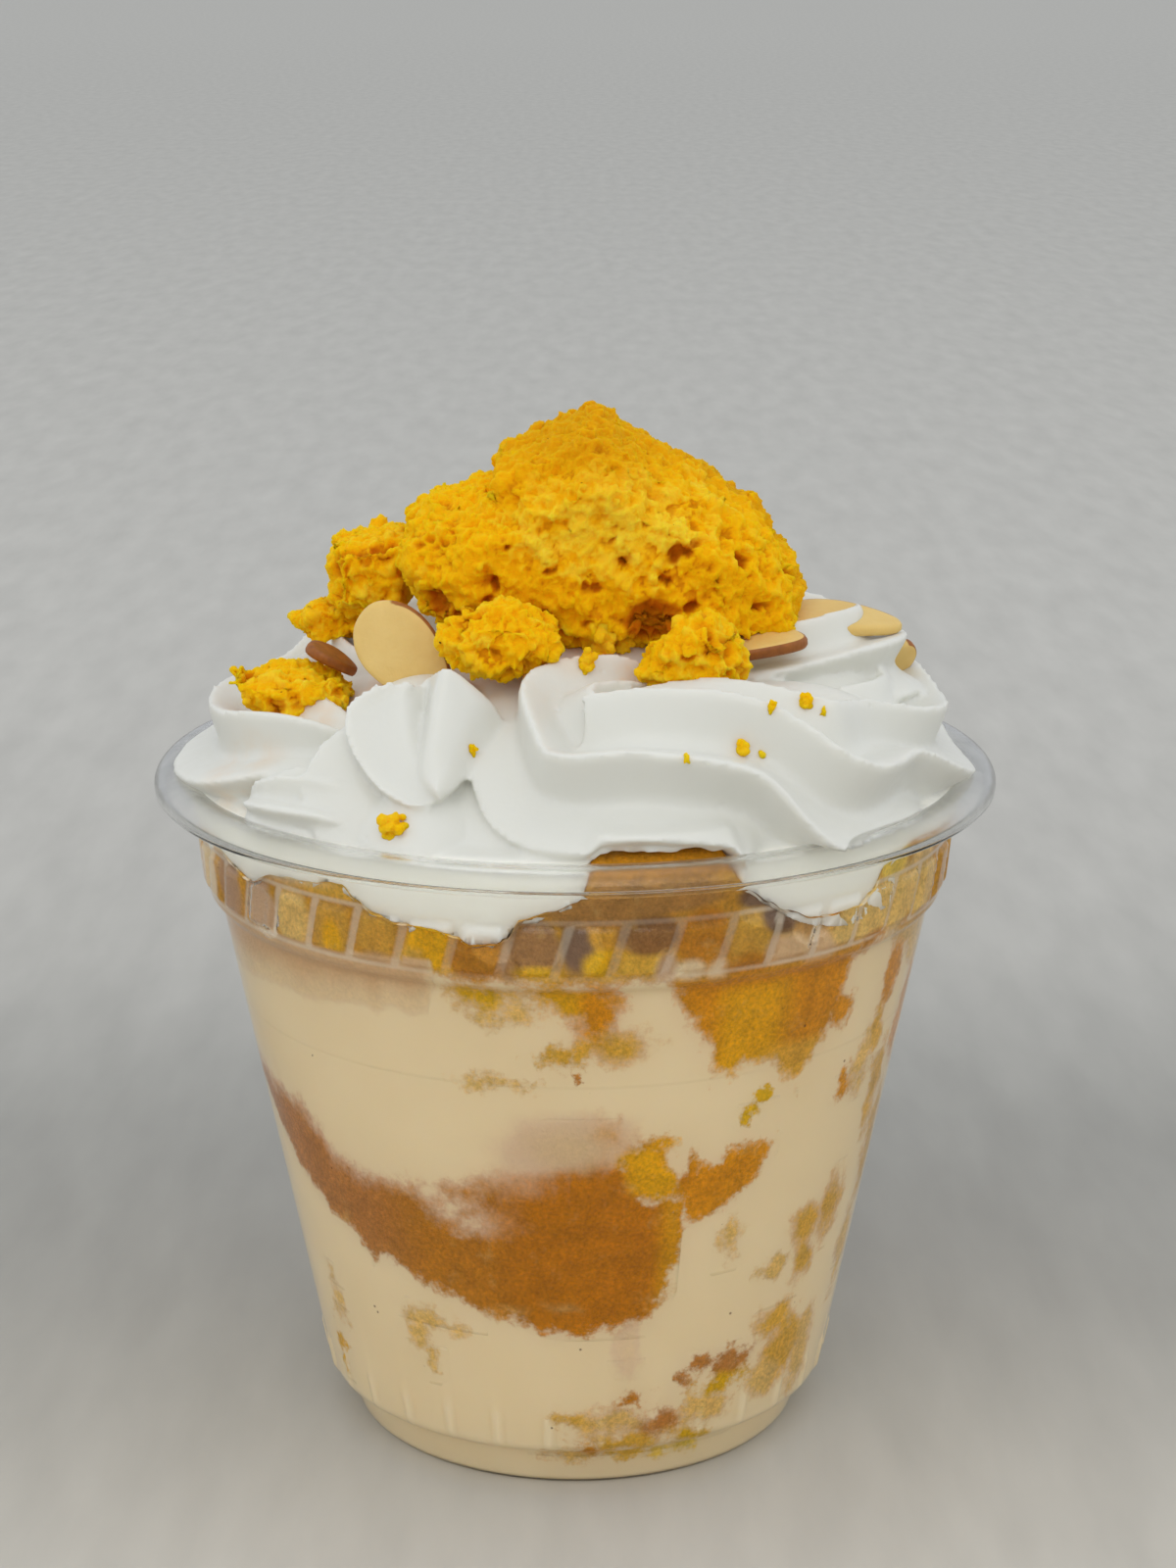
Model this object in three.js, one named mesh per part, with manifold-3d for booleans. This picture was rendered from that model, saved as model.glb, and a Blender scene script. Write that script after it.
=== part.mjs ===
// A tres leches cake dessert in a clear plastic cup: soaked sponge in milk custard,
// a piped crown of whipped cream, torn pieces of sponge and sliced almonds.
// Units are millimetres. +Z is up, -Y faces the viewer, the cup stands at the origin.
import * as THREE from 'three';
import { mergeVertices } from 'three/addons/utils/BufferGeometryUtils.js';
import Module from 'manifold-3d';

const wasm = await Module();
wasm.setup();

// ---------------------------------------------------------------- driving dimensions
const CUP_HEIGHT = 75.5;
const RIM_RADIUS = 46;
const WALL = 0.5;
const GAP = 0.3;
const SEGMENTS = 32;
const RIB_COUNT = 46;
const RIB_RELIEF = 0.3;
const RIB_LEAN = THREE.MathUtils.degToRad(2.2);
const SHOULDER_Z = 5.2;
const SHOULDER_RADIUS = 28.2;
const STEP_Z = 60.6;
const STEP_RADIUS = 39.1;
const BAND_LOW_Z = 63.2;
const BAND_HIGH_Z = 68.2;
const BAND_RADIUS = 40.9;
const FLOOR_Z = 1.6;
const MERGE_DISTANCE = 0.001;

// ---------------------------------------------------------------- materials
function material(color, roughness, extra = {}) {
  return new THREE.MeshStandardMaterial({ color, roughness, metalness: 0, ...extra });
}

const clearPlastic = material('#e9efee', 0.08, { transparent: true, opacity: 0.3 });
const milkCustard = material('#dcc498', 0.35);
const soakedSponge = material('#a5681c', 0.6);
const whippedCream = material('#f1f0ea', 0.45);
const drySponge = material('#dda012', 0.85);
const almondFlesh = material('#d8b777', 0.55);

// ---------------------------------------------------------------- closed meshes from rings
const FULL_TURN = 2 * Math.PI;

function degrees(angle) {
  return THREE.MathUtils.radToDeg(angle);
}

// A ring of points at even angles; radius and height are numbers or functions of the angle.
function ring(count, radius, height, turn = 0) {
  const valueAt = (value, angle, index) => (typeof value === 'function' ? value(angle, index) : value);
  return Array.from({ length: count }, (_, index) => {
    const angle = (index / count) * FULL_TURN + turn;
    const r = valueAt(radius, angle, index);
    return new THREE.Vector3(r * Math.cos(angle), r * Math.sin(angle), valueAt(height, angle, index));
  });
}

function pole(x, y, z) {
  return [new THREE.Vector3(x, y, z)];
}

// Triangles between two neighbouring rings. One ring may have twice the points of the other.
function bandTriangles(lower, upper, lowerStart, upperStart) {
  const low = (i) => lowerStart + (i % lower.length);
  const high = (i) => upperStart + (i % upper.length);
  const triangles = [];
  const steps = Math.max(lower.length, upper.length);
  const lowRate = lower.length / steps;
  const highRate = upper.length / steps;
  for (let i = 0; i < steps; i += 1) {
    const a = Math.floor(i * lowRate);
    const b = Math.floor((i + 1) * lowRate);
    const c = Math.floor(i * highRate);
    const d = Math.floor((i + 1) * highRate);
    if (lower.length > 1 && a !== b) {
      triangles.push(low(a), low(b), high(c));
    }
    if (upper.length > 1 && c !== d) {
      triangles.push(low(b), high(d), high(c));
    }
  }
  return triangles;
}

// Stacks rings into a closed skin. The rings run from one pole, over the outside, to the other.
function skin(rings) {
  const positions = [];
  const starts = [];
  for (const points of rings) {
    starts.push(positions.length / 3);
    points.forEach((p) => positions.push(p.x, p.y, p.z));
  }
  const indices = [];
  for (let i = 0; i + 1 < rings.length; i += 1) {
    indices.push(...bandTriangles(rings[i], rings[i + 1], starts[i], starts[i + 1]));
  }
  const geometry = new THREE.BufferGeometry();
  geometry.setAttribute('position', new THREE.Float32BufferAttribute(positions, 3));
  geometry.setIndex(indices);
  return geometry;
}

function toSolid(geometry) {
  const bare = geometry.clone();
  bare.deleteAttribute('normal');
  bare.deleteAttribute('uv');
  const merged = mergeVertices(bare, MERGE_DISTANCE);
  return new wasm.Manifold(new wasm.Mesh({
    numProp: 3,
    vertProperties: new Float32Array(merged.attributes.position.array),
    triVerts: new Uint32Array(merged.index.array),
  }));
}

function toGeometry(solid) {
  const mesh = solid.getMesh();
  const positions = [];
  for (let i = 0; i < mesh.vertProperties.length; i += mesh.numProp) {
    positions.push(mesh.vertProperties[i], mesh.vertProperties[i + 1], mesh.vertProperties[i + 2]);
  }
  const geometry = new THREE.BufferGeometry();
  geometry.setAttribute('position', new THREE.Float32BufferAttribute(positions, 3));
  geometry.setIndex(Array.from(mesh.triVerts));
  return geometry;
}

// ---------------------------------------------------------------- the cup
// Radius of the outside of the plain tapering wall at a height.
function bodyRadius(z) {
  const rise = (z - SHOULDER_Z) / (STEP_Z - SHOULDER_Z);
  return THREE.MathUtils.lerp(SHOULDER_RADIUS, STEP_RADIUS, rise);
}

function ribbed(radius) {
  return (angle, index) => radius + (index % 2 === 0 ? RIB_RELIEF : -RIB_RELIEF);
}

function cupGeometry() {
  const plain = (r, z) => ring(SEGMENTS, r, z);
  const ribs = (r, z, turn) => ring(2 * RIB_COUNT, ribbed(r), z, turn);
  const outside = [
    pole(0, 0, 0.9),
    plain(20.8, 0.8),
    plain(21.8, 0),
    plain(24.3, 0),
    plain(25.2, 0.8),
    plain(26.4, 4.6),
    plain(SHOULDER_RADIUS, SHOULDER_Z),
    plain(STEP_RADIUS, STEP_Z),
    plain(40.4, 62.2),
    ribs(BAND_RADIUS, BAND_LOW_Z, 0),
    ribs(BAND_RADIUS + 0.3, BAND_HIGH_Z, RIB_LEAN),
    plain(41.4, 69),
    plain(41.9, 72.6),
    plain(44.8, 72.5),
    plain(RIM_RADIUS, 73.4),
    plain(RIM_RADIUS, 74.6),
    plain(44.8, CUP_HEIGHT),
    plain(42.6, 75.2),
  ];
  const inside = [
    plain(41.4, 73),
    plain(40.9, 69),
    ribs(BAND_RADIUS + 0.3 - WALL, BAND_HIGH_Z, RIB_LEAN),
    ribs(BAND_RADIUS - WALL, BAND_LOW_Z, 0),
    plain(39.9, 62.2),
    plain(STEP_RADIUS - WALL, STEP_Z),
    plain(SHOULDER_RADIUS - WALL, SHOULDER_Z + 0.4),
    plain(25.9, 5),
    plain(24.7, 1.3),
    plain(23.8, 0.7),
    plain(22.2, 0.7),
    plain(21.2, 1.4),
    pole(0, 0, 1.5),
  ];
  return skin([...outside, ...inside]);
}

// The room inside the cup, kept clear of the wall; above the rim it is wide open.
function roomSolid() {
  const plain = (r, z) => ring(SEGMENTS, r, z);
  const bandRoom = BAND_RADIUS - WALL - RIB_RELIEF - GAP;
  return toSolid(skin([
    pole(0, 0, FLOOR_Z + GAP),
    plain(20.8, FLOOR_Z + GAP),
    plain(24.2, FLOOR_Z + GAP),
    plain(25.4, 5.3),
    plain(bodyRadius(SHOULDER_Z + 0.8) - WALL - GAP, SHOULDER_Z + 0.8),
    plain(STEP_RADIUS - WALL - GAP, STEP_Z),
    plain(bandRoom - 0.1, 62.5),
    plain(bandRoom + 0.1, 68.4),
    plain(40.6, 69.4),
    plain(41.1, 73.2),
    plain(41.8, CUP_HEIGHT + GAP),
    plain(BEYOND_WALL, CUP_HEIGHT + 2 * GAP),
    plain(BEYOND_WALL, SKY),
    pole(0, 0, SKY),
  ]));
}

// ---------------------------------------------------------------- smooth steps around the cup
// Direction around the cup in degrees: 0 faces the viewer, positive runs to the right.
function facing(angle) {
  const turned = degrees(angle) + 90;
  return ((turned + 180) % 360 + 360) % 360 - 180;
}

// A smooth closed curve through a few [facing, value] stops.
function aroundCup(stops) {
  return (angle) => {
    const at = facing(angle);
    const next = stops.findIndex(([where]) => where > at);
    const right = next === -1 ? [stops[0][0] + 360, stops[0][1]] : stops[next];
    const last = stops[stops.length - 1];
    const left = next === 0 ? [last[0] - 360, last[1]] : stops[(next === -1 ? stops.length : next) - 1];
    const t = (at - left[0]) / (right[0] - left[0]);
    return THREE.MathUtils.lerp(left[1], right[1], THREE.MathUtils.smoothstep(t, 0, 1));
  };
}

// ---------------------------------------------------------------- layers inside the cup
const HIDDEN_RINGS = [0.6, 0.985];
const VISIBLE_RINGS = [0.5, 0.82, 0.985];
const BEYOND_WALL = 60;
const WALL_REACH = 41;
const SKY = 130;

// A layer between two height functions of (angle, radius), out to an edge radius.
function layer({ bottom, top, edge = () => BEYOND_WALL, grow = 0, shares = HIDDEN_RINGS }) {
  const heightRing = (share, height, rise) => ring(
    SEGMENTS,
    (angle) => share * (Math.min(edge(angle, grow), WALL_REACH) + grow),
    (angle) => height(angle, share * Math.min(edge(angle, grow), WALL_REACH)) + rise,
  );
  const rim = (height, rise) => ring(
    SEGMENTS,
    (angle) => edge(angle, grow) + grow,
    (angle) => height(angle, Math.min(edge(angle, grow), WALL_REACH)) + rise,
  );
  return toSolid(skin([
    pole(0, 0, bottom(0, 0) - grow),
    ...shares.map((share) => heightRing(share, bottom, -grow)),
    rim(bottom, -grow),
    rim(top, grow),
    ...shares.toReversed().map((share) => heightRing(share, top, grow)),
    pole(0, 0, top(0, 0) + grow),
  ]));
}

// Bottom edge of the upper sponge where it meets the wall, and the top edge of that sponge.
const upperFloorAtWall = aroundCup([
  [-135, 59], [-90, 60], [-60, 61.5], [-25, 62], [8, 62], [17, 58], [26, 50.5], [40, 50], [52, 61], [62, 60],
  [72, 56], [90, 57],
]);
const upperTopAtWall = aroundCup([
  [-100, 70], [-70, 70.5], [-54, 68.2], [-40, 70], [-28, 68], [-14, 66.2], [-3, 69.8], [5, 74], [20, 74],
  [28, 69.6], [38, 67], [46, 67.2], [56, 71], [80, 70.5], [120, 71], [180, 70.5],
]);
const UPPER_FLOOR_INSIDE = 57;
const UPPER_TOP_INSIDE = 73.5;

function towardWall(radius, start, end) {
  return THREE.MathUtils.smoothstep(radius, start, end);
}

function upperSpongeFloor(angle, radius) {
  return THREE.MathUtils.lerp(UPPER_FLOOR_INSIDE, upperFloorAtWall(angle), towardWall(radius, 12, 39));
}

function upperSpongeTop(angle, radius) {
  return THREE.MathUtils.lerp(UPPER_TOP_INSIDE, upperTopAtWall(angle), towardWall(radius, 30, 40));
}

// The middle slab of sponge shows as a sagging crescent across the front of the cup.
const middleTop = aroundCup([
  [-84, 43], [-57, 42], [-44, 36.4], [-20, 37.6], [0, 42.6], [12, 43.6], [20, 38.5], [33, 42], [90, 40],
]);
const middleFloor = aroundCup([
  [-84, 40], [-58, 32], [-28, 25], [0, 20.6], [14, 22.2], [20, 33], [30, 35.5], [37, 39.5], [90, 30],
]);
const middleEdge = (angle, grow) => {
  const at = facing(angle);
  const spread = grow > 0 ? 1 : 0;
  const open = at > -86 - spread && at < 38 + spread;
  return open ? BEYOND_WALL : 27;
};

// The lowest sponge shows only at the front right, close to the foot.
const baseTop = aroundCup([[-60, 9], [-10, 9.5], [12, 10.5], [34, 16], [56, 26], [75, 12]]);
const baseEdge = (angle, grow) => {
  const at = facing(angle);
  const spread = grow > 0 ? 1 : 0;
  return at > -6 - spread && at < 64 + spread ? BEYOND_WALL : 21;
};
const BASE_FLOOR = 3.4;

function middleSponge(grow) {
  const toward = (wallHeight, inside) => (angle, radius) => (
    THREE.MathUtils.lerp(inside, wallHeight(angle), towardWall(radius, 14, 36)));
  return layer({ bottom: toward(middleFloor, 27), top: toward(middleTop, 41), edge: middleEdge, grow });
}

function baseSponge(grow) {
  const top = (angle, radius) => THREE.MathUtils.lerp(11, baseTop(angle), towardWall(radius, 12, 28));
  return layer({ bottom: () => BASE_FLOOR, top, edge: baseEdge, grow });
}

function upperSponge() {
  return layer({ bottom: upperSpongeFloor, top: upperSpongeTop, shares: VISIBLE_RINGS });
}

// Room taken by the upper sponge and everything over it, or by the sponge and everything under it.
function upFromUpperSponge() {
  const bottom = (angle, radius) => upperSpongeFloor(angle, radius) - GAP;
  return layer({ bottom, top: () => SKY, shares: VISIBLE_RINGS });
}

function downFromUpperSponge() {
  const top = (angle, radius) => upperSpongeTop(angle, radius) + GAP;
  return layer({ bottom: () => -1, top, shares: VISIBLE_RINGS });
}

function custard(room) {
  return room.subtract(upFromUpperSponge()).subtract(middleSponge(GAP)).subtract(baseSponge(GAP));
}

// ---------------------------------------------------------------- piped cream
const STAR_POINTS = 8;
const GROOVE_DEPTH = 0.3;
const HEAP_TOP = 91;
const HEAP_FALL = 0.0125;
const HEAP_FLOOR = 60;

// Each rope is a star-shaped bead along [x, y, z, radius, roll in degrees] stops.
const FRONT_ROPE = [
  [10, -13, 83, 7, 100], [3, -17, 82.8, 7.8, 86], [-1.5, -22.5, 80.9, 10, 72], [1, -28, 76.5, 12.6, 45],
  [7.5, -29.5, 77.5, 12.8, 40], [15, -27.5, 78, 12.5, 22], [23, -24.5, 75.5, 12.5, -10],
  [28, -18, 75.5, 11, -12], [32.5, -8, 75.5, 10.5, -42], [32, 4, 77, 9.5, -48], [28, 17, 79, 10, -20],
  [18, 27, 79, 10.5, 0], [9, 32, 78, 8, 10],
];
const SIDE_ROPE = [
  [-20, -19, 78.5, 6, 25], [-26, -17, 77.5, 9, 32], [-31.2, -11, 75.4, 11.1, 40], [-32, 0, 75, 10.8, 38],
  [-28, 13, 75, 10, 30], [-20, 25, 79.5, 10.5, 20], [-6, 31, 80, 10, 20], [8, 31, 80, 9, 20],
];
const LOW_ROPE = [
  [-20, -30, 74.5, 5.5, 20], [-25, -28.5, 75.4, 5.6, 20], [-30, -26, 76, 5, 25], [-33, -23.5, 76, 3.6, 25],
];
const FOLD_ROPE = [
  [-11, -8, 79, 8, 10], [-13, -17, 80, 9, 10], [-14.5, -24, 80.5, 9.8, 10], [-15, -30, 80.5, 9, 10],
  [-15, -32.8, 80.2, 5, 10],
];
const INNER_ROPE = [
  [-14, -8, 80, 6, 0], [-21, -3, 80, 7.5, 10], [-24, 7, 81, 8, 20], [-18, 17, 81, 8, 30],
  [-6, 22, 80, 8, 40], [8, 21, 80, 8, 40], [20, 15, 81, 8.3, 40], [28, 8, 82.6, 8, 16],
  [29.6, 0, 84, 8.3, 7], [24, -4.5, 84.4, 7.8, 14], [17, -7, 84.4, 7.2, 22], [10, -8, 84.2, 6.8, 22],
];
const STEPS_BETWEEN_STOPS = 1.1;
const TIP_REACH = 0.5;

function smoothCurve(points) {
  return new THREE.CatmullRomCurve3(points, false, 'catmullrom');
}

// Stops of a rope resampled along smooth curves, so that radius and roll change gently.
function ropeStations(stops) {
  const path = smoothCurve(stops.map(([x, y, z]) => new THREE.Vector3(x, y, z)));
  const size = smoothCurve(stops.map(([, , , radius, roll]) => new THREE.Vector3(radius, roll, 0)));
  const count = Math.round((stops.length - 1) * STEPS_BETWEEN_STOPS);
  return Array.from({ length: count + 1 }, (_, i) => {
    const bead = size.getPoint(i / count);
    return {
      centre: path.getPoint(i / count),
      travel: path.getTangent(i / count),
      radius: bead.x,
      roll: THREE.MathUtils.degToRad(bead.y),
    };
  });
}

// One star section, square to the path, its roll measured from the level outward direction.
function starRing({ centre, travel, radius, roll }) {
  const outward = new THREE.Vector3().crossVectors(travel, new THREE.Vector3(0, 0, 1)).normalize();
  const above = new THREE.Vector3().crossVectors(outward, travel);
  const points = 2 * STAR_POINTS;
  return Array.from({ length: points }, (_, i) => {
    const angle = roll - (i / points) * FULL_TURN;
    const reach = radius * (i % 2 === 0 ? 1 : 1 - GROOVE_DEPTH);
    return centre.clone()
      .addScaledVector(outward, reach * Math.cos(angle))
      .addScaledVector(above, reach * Math.sin(angle));
  });
}

function ropeSolid(stops) {
  const stations = ropeStations(stops);
  const first = stations[0];
  const last = stations[stations.length - 1];
  const tip = ({ centre, travel, radius }, sign) => (
    centre.clone().addScaledVector(travel, sign * TIP_REACH * radius));
  return toSolid(skin([[tip(first, -1)], ...stations.map(starRing), [tip(last, 1)]]));
}

// The heap of cream under the ropes, resting on the sponge and closing the cup.
function creamHeap() {
  const dome = (angle, radius) => HEAP_TOP - HEAP_FALL * radius * radius;
  return layer({ bottom: () => HEAP_FLOOR, top: dome, edge: () => WALL_REACH, shares: VISIBLE_RINGS });
}

function cream(room, toppings) {
  const ropes = [FRONT_ROPE, SIDE_ROPE, LOW_ROPE, FOLD_ROPE, INNER_ROPE].map(ropeSolid);
  const piled = ropes.reduce((sum, rope) => sum.add(rope), creamHeap());
  const settled = piled.intersect(room).subtract(downFromUpperSponge());
  return toppings.reduce((rest, topping) => rest.subtract(topping), settled);
}

// ---------------------------------------------------------------- torn sponge pieces
// A small repeatable random number source for the torn edges.
const RANDOM_FACTOR = 16807;
const RANDOM_RANGE = 2147483647;

function randomSource(seed) {
  let state = seed;
  return () => {
    state = (state * RANDOM_FACTOR) % RANDOM_RANGE;
    return state / RANDOM_RANGE;
  };
}

// How far the ends of a torn piece bulge past its first and last slice.
const END_BULGE = 1;

// A torn piece: an outline seen from the front, given depth by slices that swell and shrink.
function tornPiece({ outline, slices, seed, ragged }, grow = 0) {
  const random = randomSource(seed);
  const middle = outline.reduce((sum, [x, z]) => sum.add(new THREE.Vector2(x, z)), new THREE.Vector2());
  middle.divideScalar(outline.length);
  const points = outline.map(([x, z]) => new THREE.Vector2(x, z));
  const rings = slices.map(({ y, share, drop = 0 }, index) => {
    const edge = index === 0 ? -1 : 1;
    const depth = index === 0 || index === slices.length - 1 ? edge * grow : 0;
    return points.map((point) => {
      const arm = point.clone().sub(middle);
      const jag = 1 + ragged * (random() - 0.5);
      const reach = arm.length() * share * jag + grow;
      arm.setLength(reach);
      return new THREE.Vector3(middle.x + arm.x, y + depth, middle.y + arm.y - drop);
    });
  });
  const front = slices[0];
  const back = slices[slices.length - 1];
  return toSolid(skin([
    pole(middle.x, front.y - grow - END_BULGE, middle.y - (front.drop ?? 0)),
    ...rings,
    pole(middle.x, back.y + grow + END_BULGE, middle.y - (back.drop ?? 0)),
  ]));
}

// Outlines are [x, z] going clockwise as seen by the viewer.
const PIECES = {
  sponge_piece_main: {
    outline: [
      [-19.4, 98.5], [-18.4, 102.2], [-15.3, 105], [-9, 106], [-8.6, 109.6], [-3.8, 111.4], [1.8, 114],
      [4.2, 113], [10, 109.2], [16, 106], [20.8, 102.4], [24.2, 97.4], [24.8, 94], [24.4, 90], [13, 89.6],
      [2, 89], [-9, 89.5], [-17, 93],
    ],
    slices: [
      { y: -13, share: 0.62, drop: 2 },
      { y: -9, share: 0.93, drop: 1 },
      { y: 0, share: 1 },
      { y: 8, share: 0.96, drop: 0.6 },
      { y: 13, share: 0.7, drop: 2.5 },
    ],
    seed: 11,
    ragged: 0.05,
  },
  sponge_piece_left: {
    outline: [
      [-26.5, 98.5], [-22, 99.3], [-18.4, 99], [-17.6, 94.5], [-19, 90.5], [-23, 90.5], [-26.8, 91.5],
    ],
    slices: [{ y: -2, share: 0.7 }, { y: 2, share: 1 }, { y: 8, share: 1 }, { y: 12, share: 0.7 }],
    seed: 23,
    ragged: 0.1,
  },
  sponge_piece_front_left: {
    outline: [
      [-14, 92.5], [-11.5, 95.5], [-6.5, 96.2], [-2.4, 94], [-1.6, 91], [-4, 88.8], [-8, 87.6], [-12.5, 89],
    ],
    slices: [
      { y: -22, share: 0.55 }, { y: -19.5, share: 0.95 }, { y: -16, share: 1 }, { y: -14.5, share: 0.6 },
    ],
    seed: 31,
    ragged: 0.12,
  },
  sponge_piece_front_right: {
    outline: [
      [6.4, 88.8], [7.4, 91], [9.6, 92.4], [11, 94.4], [14, 95], [16.8, 93], [18.2, 89.4], [16.8, 87.2],
      [12, 86.8], [8, 87],
    ],
    slices: [{ y: -22.5, share: 0.6 }, { y: -20, share: 0.95 }, { y: -17, share: 1 }, { y: -15, share: 0.6 }],
    seed: 43,
    ragged: 0.12,
  },
  sponge_piece_far_left: {
    outline: [
      [-36.5, 86.5], [-32, 87.6], [-28.5, 87.3], [-25, 87.2], [-23.2, 84.5], [-25.5, 82.5], [-30, 80.4],
      [-33.2, 82.4],
    ],
    slices: [
      { y: -15, share: 0.55 }, { y: -12.5, share: 0.95 }, { y: -8.5, share: 1 }, { y: -5, share: 0.6 },
    ],
    seed: 57,
    ragged: 0.12,
  },
  sponge_piece_small: {
    outline: [[-31, 89.5], [-28.5, 91.4], [-25, 91], [-21.4, 88.6], [-22, 86.8], [-25, 87.4], [-29, 87]],
    slices: [{ y: 2, share: 0.6 }, { y: 4, share: 1 }, { y: 7, share: 1 }, { y: 9, share: 0.6 }],
    seed: 61,
    ragged: 0.1,
  },
};

// ---------------------------------------------------------------- almond slices
const ALMOND_STEPS = 10;
const ALMOND_TAPER = 0.28;

// A flat slice of almond: round at one end, drawn to a point at the other.
function almondSlice({ long, wide, thick, place, turn }, grow = 0) {
  const half = thick / 2 + grow;
  const outline = (share, y) => Array.from({ length: ALMOND_STEPS }, (_, i) => {
    const angle = -(i / ALMOND_STEPS) * FULL_TURN;
    const taper = 1 - ALMOND_TAPER * Math.cos(angle);
    const x = share * (long / 2 + grow) * Math.cos(angle);
    const z = share * (wide / 2 + grow) * Math.sin(angle) * taper;
    return new THREE.Vector3(x, y, z);
  });
  const geometry = skin([
    pole(0, -half, 0),
    outline(0.86, -half),
    outline(1, -0.35 * half),
    outline(1, 0.35 * half),
    outline(0.86, half),
    pole(0, half, 0),
  ]);
  const spin = new THREE.Euler(...turn.map(THREE.MathUtils.degToRad), 'XYZ');
  geometry.applyMatrix4(new THREE.Matrix4().makeRotationFromEuler(spin));
  geometry.translate(...place);
  return toSolid(geometry);
}

// turn is the slice's rotation about X, Y and Z in degrees; at rest the slice faces the viewer.
const ALMONDS = {
  almond_standing: { long: 13.4, wide: 7.8, thick: 1.3, place: [-17.5, -13.6, 89.2], turn: [-12, 50, 0] },
  almond_edge: { long: 10, wide: 7, thick: 1.3, place: [19.6, -10.5, 90], turn: [-80, 0, -6] },
  almond_right: { long: 14.4, wide: 7.6, thick: 1.3, place: [28.4, 0, 90.2], turn: [-78, 0, 3] },
  almond_left: { long: 6, wide: 4, thick: 1.1, place: [-25.8, -8.6, 88], turn: [-84, 0, 30] },
  almond_left_inner: { long: 5, wide: 3.4, thick: 1, place: [-20.4, -12, 87.2], turn: [-86, 0, 54] },
  almond_front: { long: 7.5, wide: 4, thick: 1, place: [-1.8, -18.8, 88.4], turn: [-60, -24, 8] },
  almond_back: { long: 5, wide: 4, thick: 1.2, place: [35.8, 5, 85], turn: [-20, 60, 60] },
};

// ---------------------------------------------------------------- assembly
const dessert = new THREE.Group();

function addPart(name, geometry, look) {
  const mesh = new THREE.Mesh(geometry, look);
  mesh.name = name;
  dessert.add(mesh);
}

const room = roomSolid();
// Each topping: its name, a function that builds it grown by a distance, and its look.
const toppingsOf = (shapes, build, look) => (
  Object.entries(shapes).map(([name, shape]) => [name, (grow) => build(shape, grow), look]));
const toppings = [
  ...toppingsOf(ALMONDS, almondSlice, almondFlesh),
  ...toppingsOf(PIECES, tornPiece, drySponge),
];

addPart('cup', cupGeometry(), clearPlastic);
addPart('milk_custard', toGeometry(custard(room)), milkCustard);
addPart('sponge_base', toGeometry(baseSponge(0).intersect(room)), soakedSponge);
addPart('sponge_middle', toGeometry(middleSponge(0).intersect(room)), soakedSponge);
addPart('sponge_upper', toGeometry(upperSponge().intersect(room)), soakedSponge);
addPart('whipped_cream', toGeometry(cream(room, toppings.map(([, build]) => build(GAP)))), whippedCream);
toppings.forEach(([name, build, look], index) => {
  const earlier = toppings.slice(0, index).map(([, other]) => other(GAP));
  const solid = earlier.reduce((rest, other) => rest.subtract(other), build(0));
  addPart(name, toGeometry(solid), look);
});

export default dessert;
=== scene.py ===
# %% [markdown]
# # A tres leches cake cup
# A clear plastic cup holds milk custard and soaked sponge. Whipped cream is piped over it, and torn
# sponge and sliced almonds lie on the cream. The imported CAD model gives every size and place, so the
# lesson starts by loading it, and each detailed piece then takes the place of its plain CAD solid.

# %% Load the frame
import math
import random

import bpy
from mathutils import Euler, Matrix, Vector, noise


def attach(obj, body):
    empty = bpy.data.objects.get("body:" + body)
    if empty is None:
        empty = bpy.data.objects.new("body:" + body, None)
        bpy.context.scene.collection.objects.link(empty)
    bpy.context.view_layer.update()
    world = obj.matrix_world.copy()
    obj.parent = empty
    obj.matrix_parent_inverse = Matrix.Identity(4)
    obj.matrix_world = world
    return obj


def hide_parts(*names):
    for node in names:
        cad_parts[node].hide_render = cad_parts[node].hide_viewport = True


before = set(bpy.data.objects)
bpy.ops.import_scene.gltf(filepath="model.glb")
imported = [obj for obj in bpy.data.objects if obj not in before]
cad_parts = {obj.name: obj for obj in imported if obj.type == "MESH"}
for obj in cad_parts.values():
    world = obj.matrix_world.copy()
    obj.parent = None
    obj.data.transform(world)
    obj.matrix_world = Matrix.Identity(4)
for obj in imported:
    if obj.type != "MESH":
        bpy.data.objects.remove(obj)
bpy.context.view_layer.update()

# %% [markdown]
# Sizes below are in millimetres, as a maker would say them, and one factor brings them to Blender's
# metres. A cup is round, so places on it are given by the direction they face, in degrees: 0 faces
# the viewer, positive runs to the right.

# %% Units and directions
MM = 0.001


def facing(x, y):
    return math.degrees(math.atan2(x, -y))


def linear(red, green, blue):
    """A colour given as 0 to 255 screen values, as the linear numbers that shaders use."""
    channels = []
    for value in (red, green, blue):
        share = value / 255
        channels.append(share / 12.92 if share <= 0.04045 else ((share + 0.055) / 1.055) ** 2.4)
    return (*channels, 1.0)


def clamp(value, low=0.0, high=1.0):
    return max(low, min(high, value))


def smooth_step(value, start, end):
    share = clamp((value - start) / (end - start))
    return share * share * (3 - 2 * share)


def mix(a, b, share):
    return a + (b - a) * share


# %% [markdown]
# The camera looks a little down on the cup from close by, so the rim shows as an open ellipse. Its
# place, dip and lens are plain numbers, found once and kept.

# %% Camera
CAMERA_PLACE = (1.4 * MM, -328.1 * MM, 160.2 * MM)
CAMERA_DIP = 15.07
LENS = 70.74
SENSOR_WIDTH = 36

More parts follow.
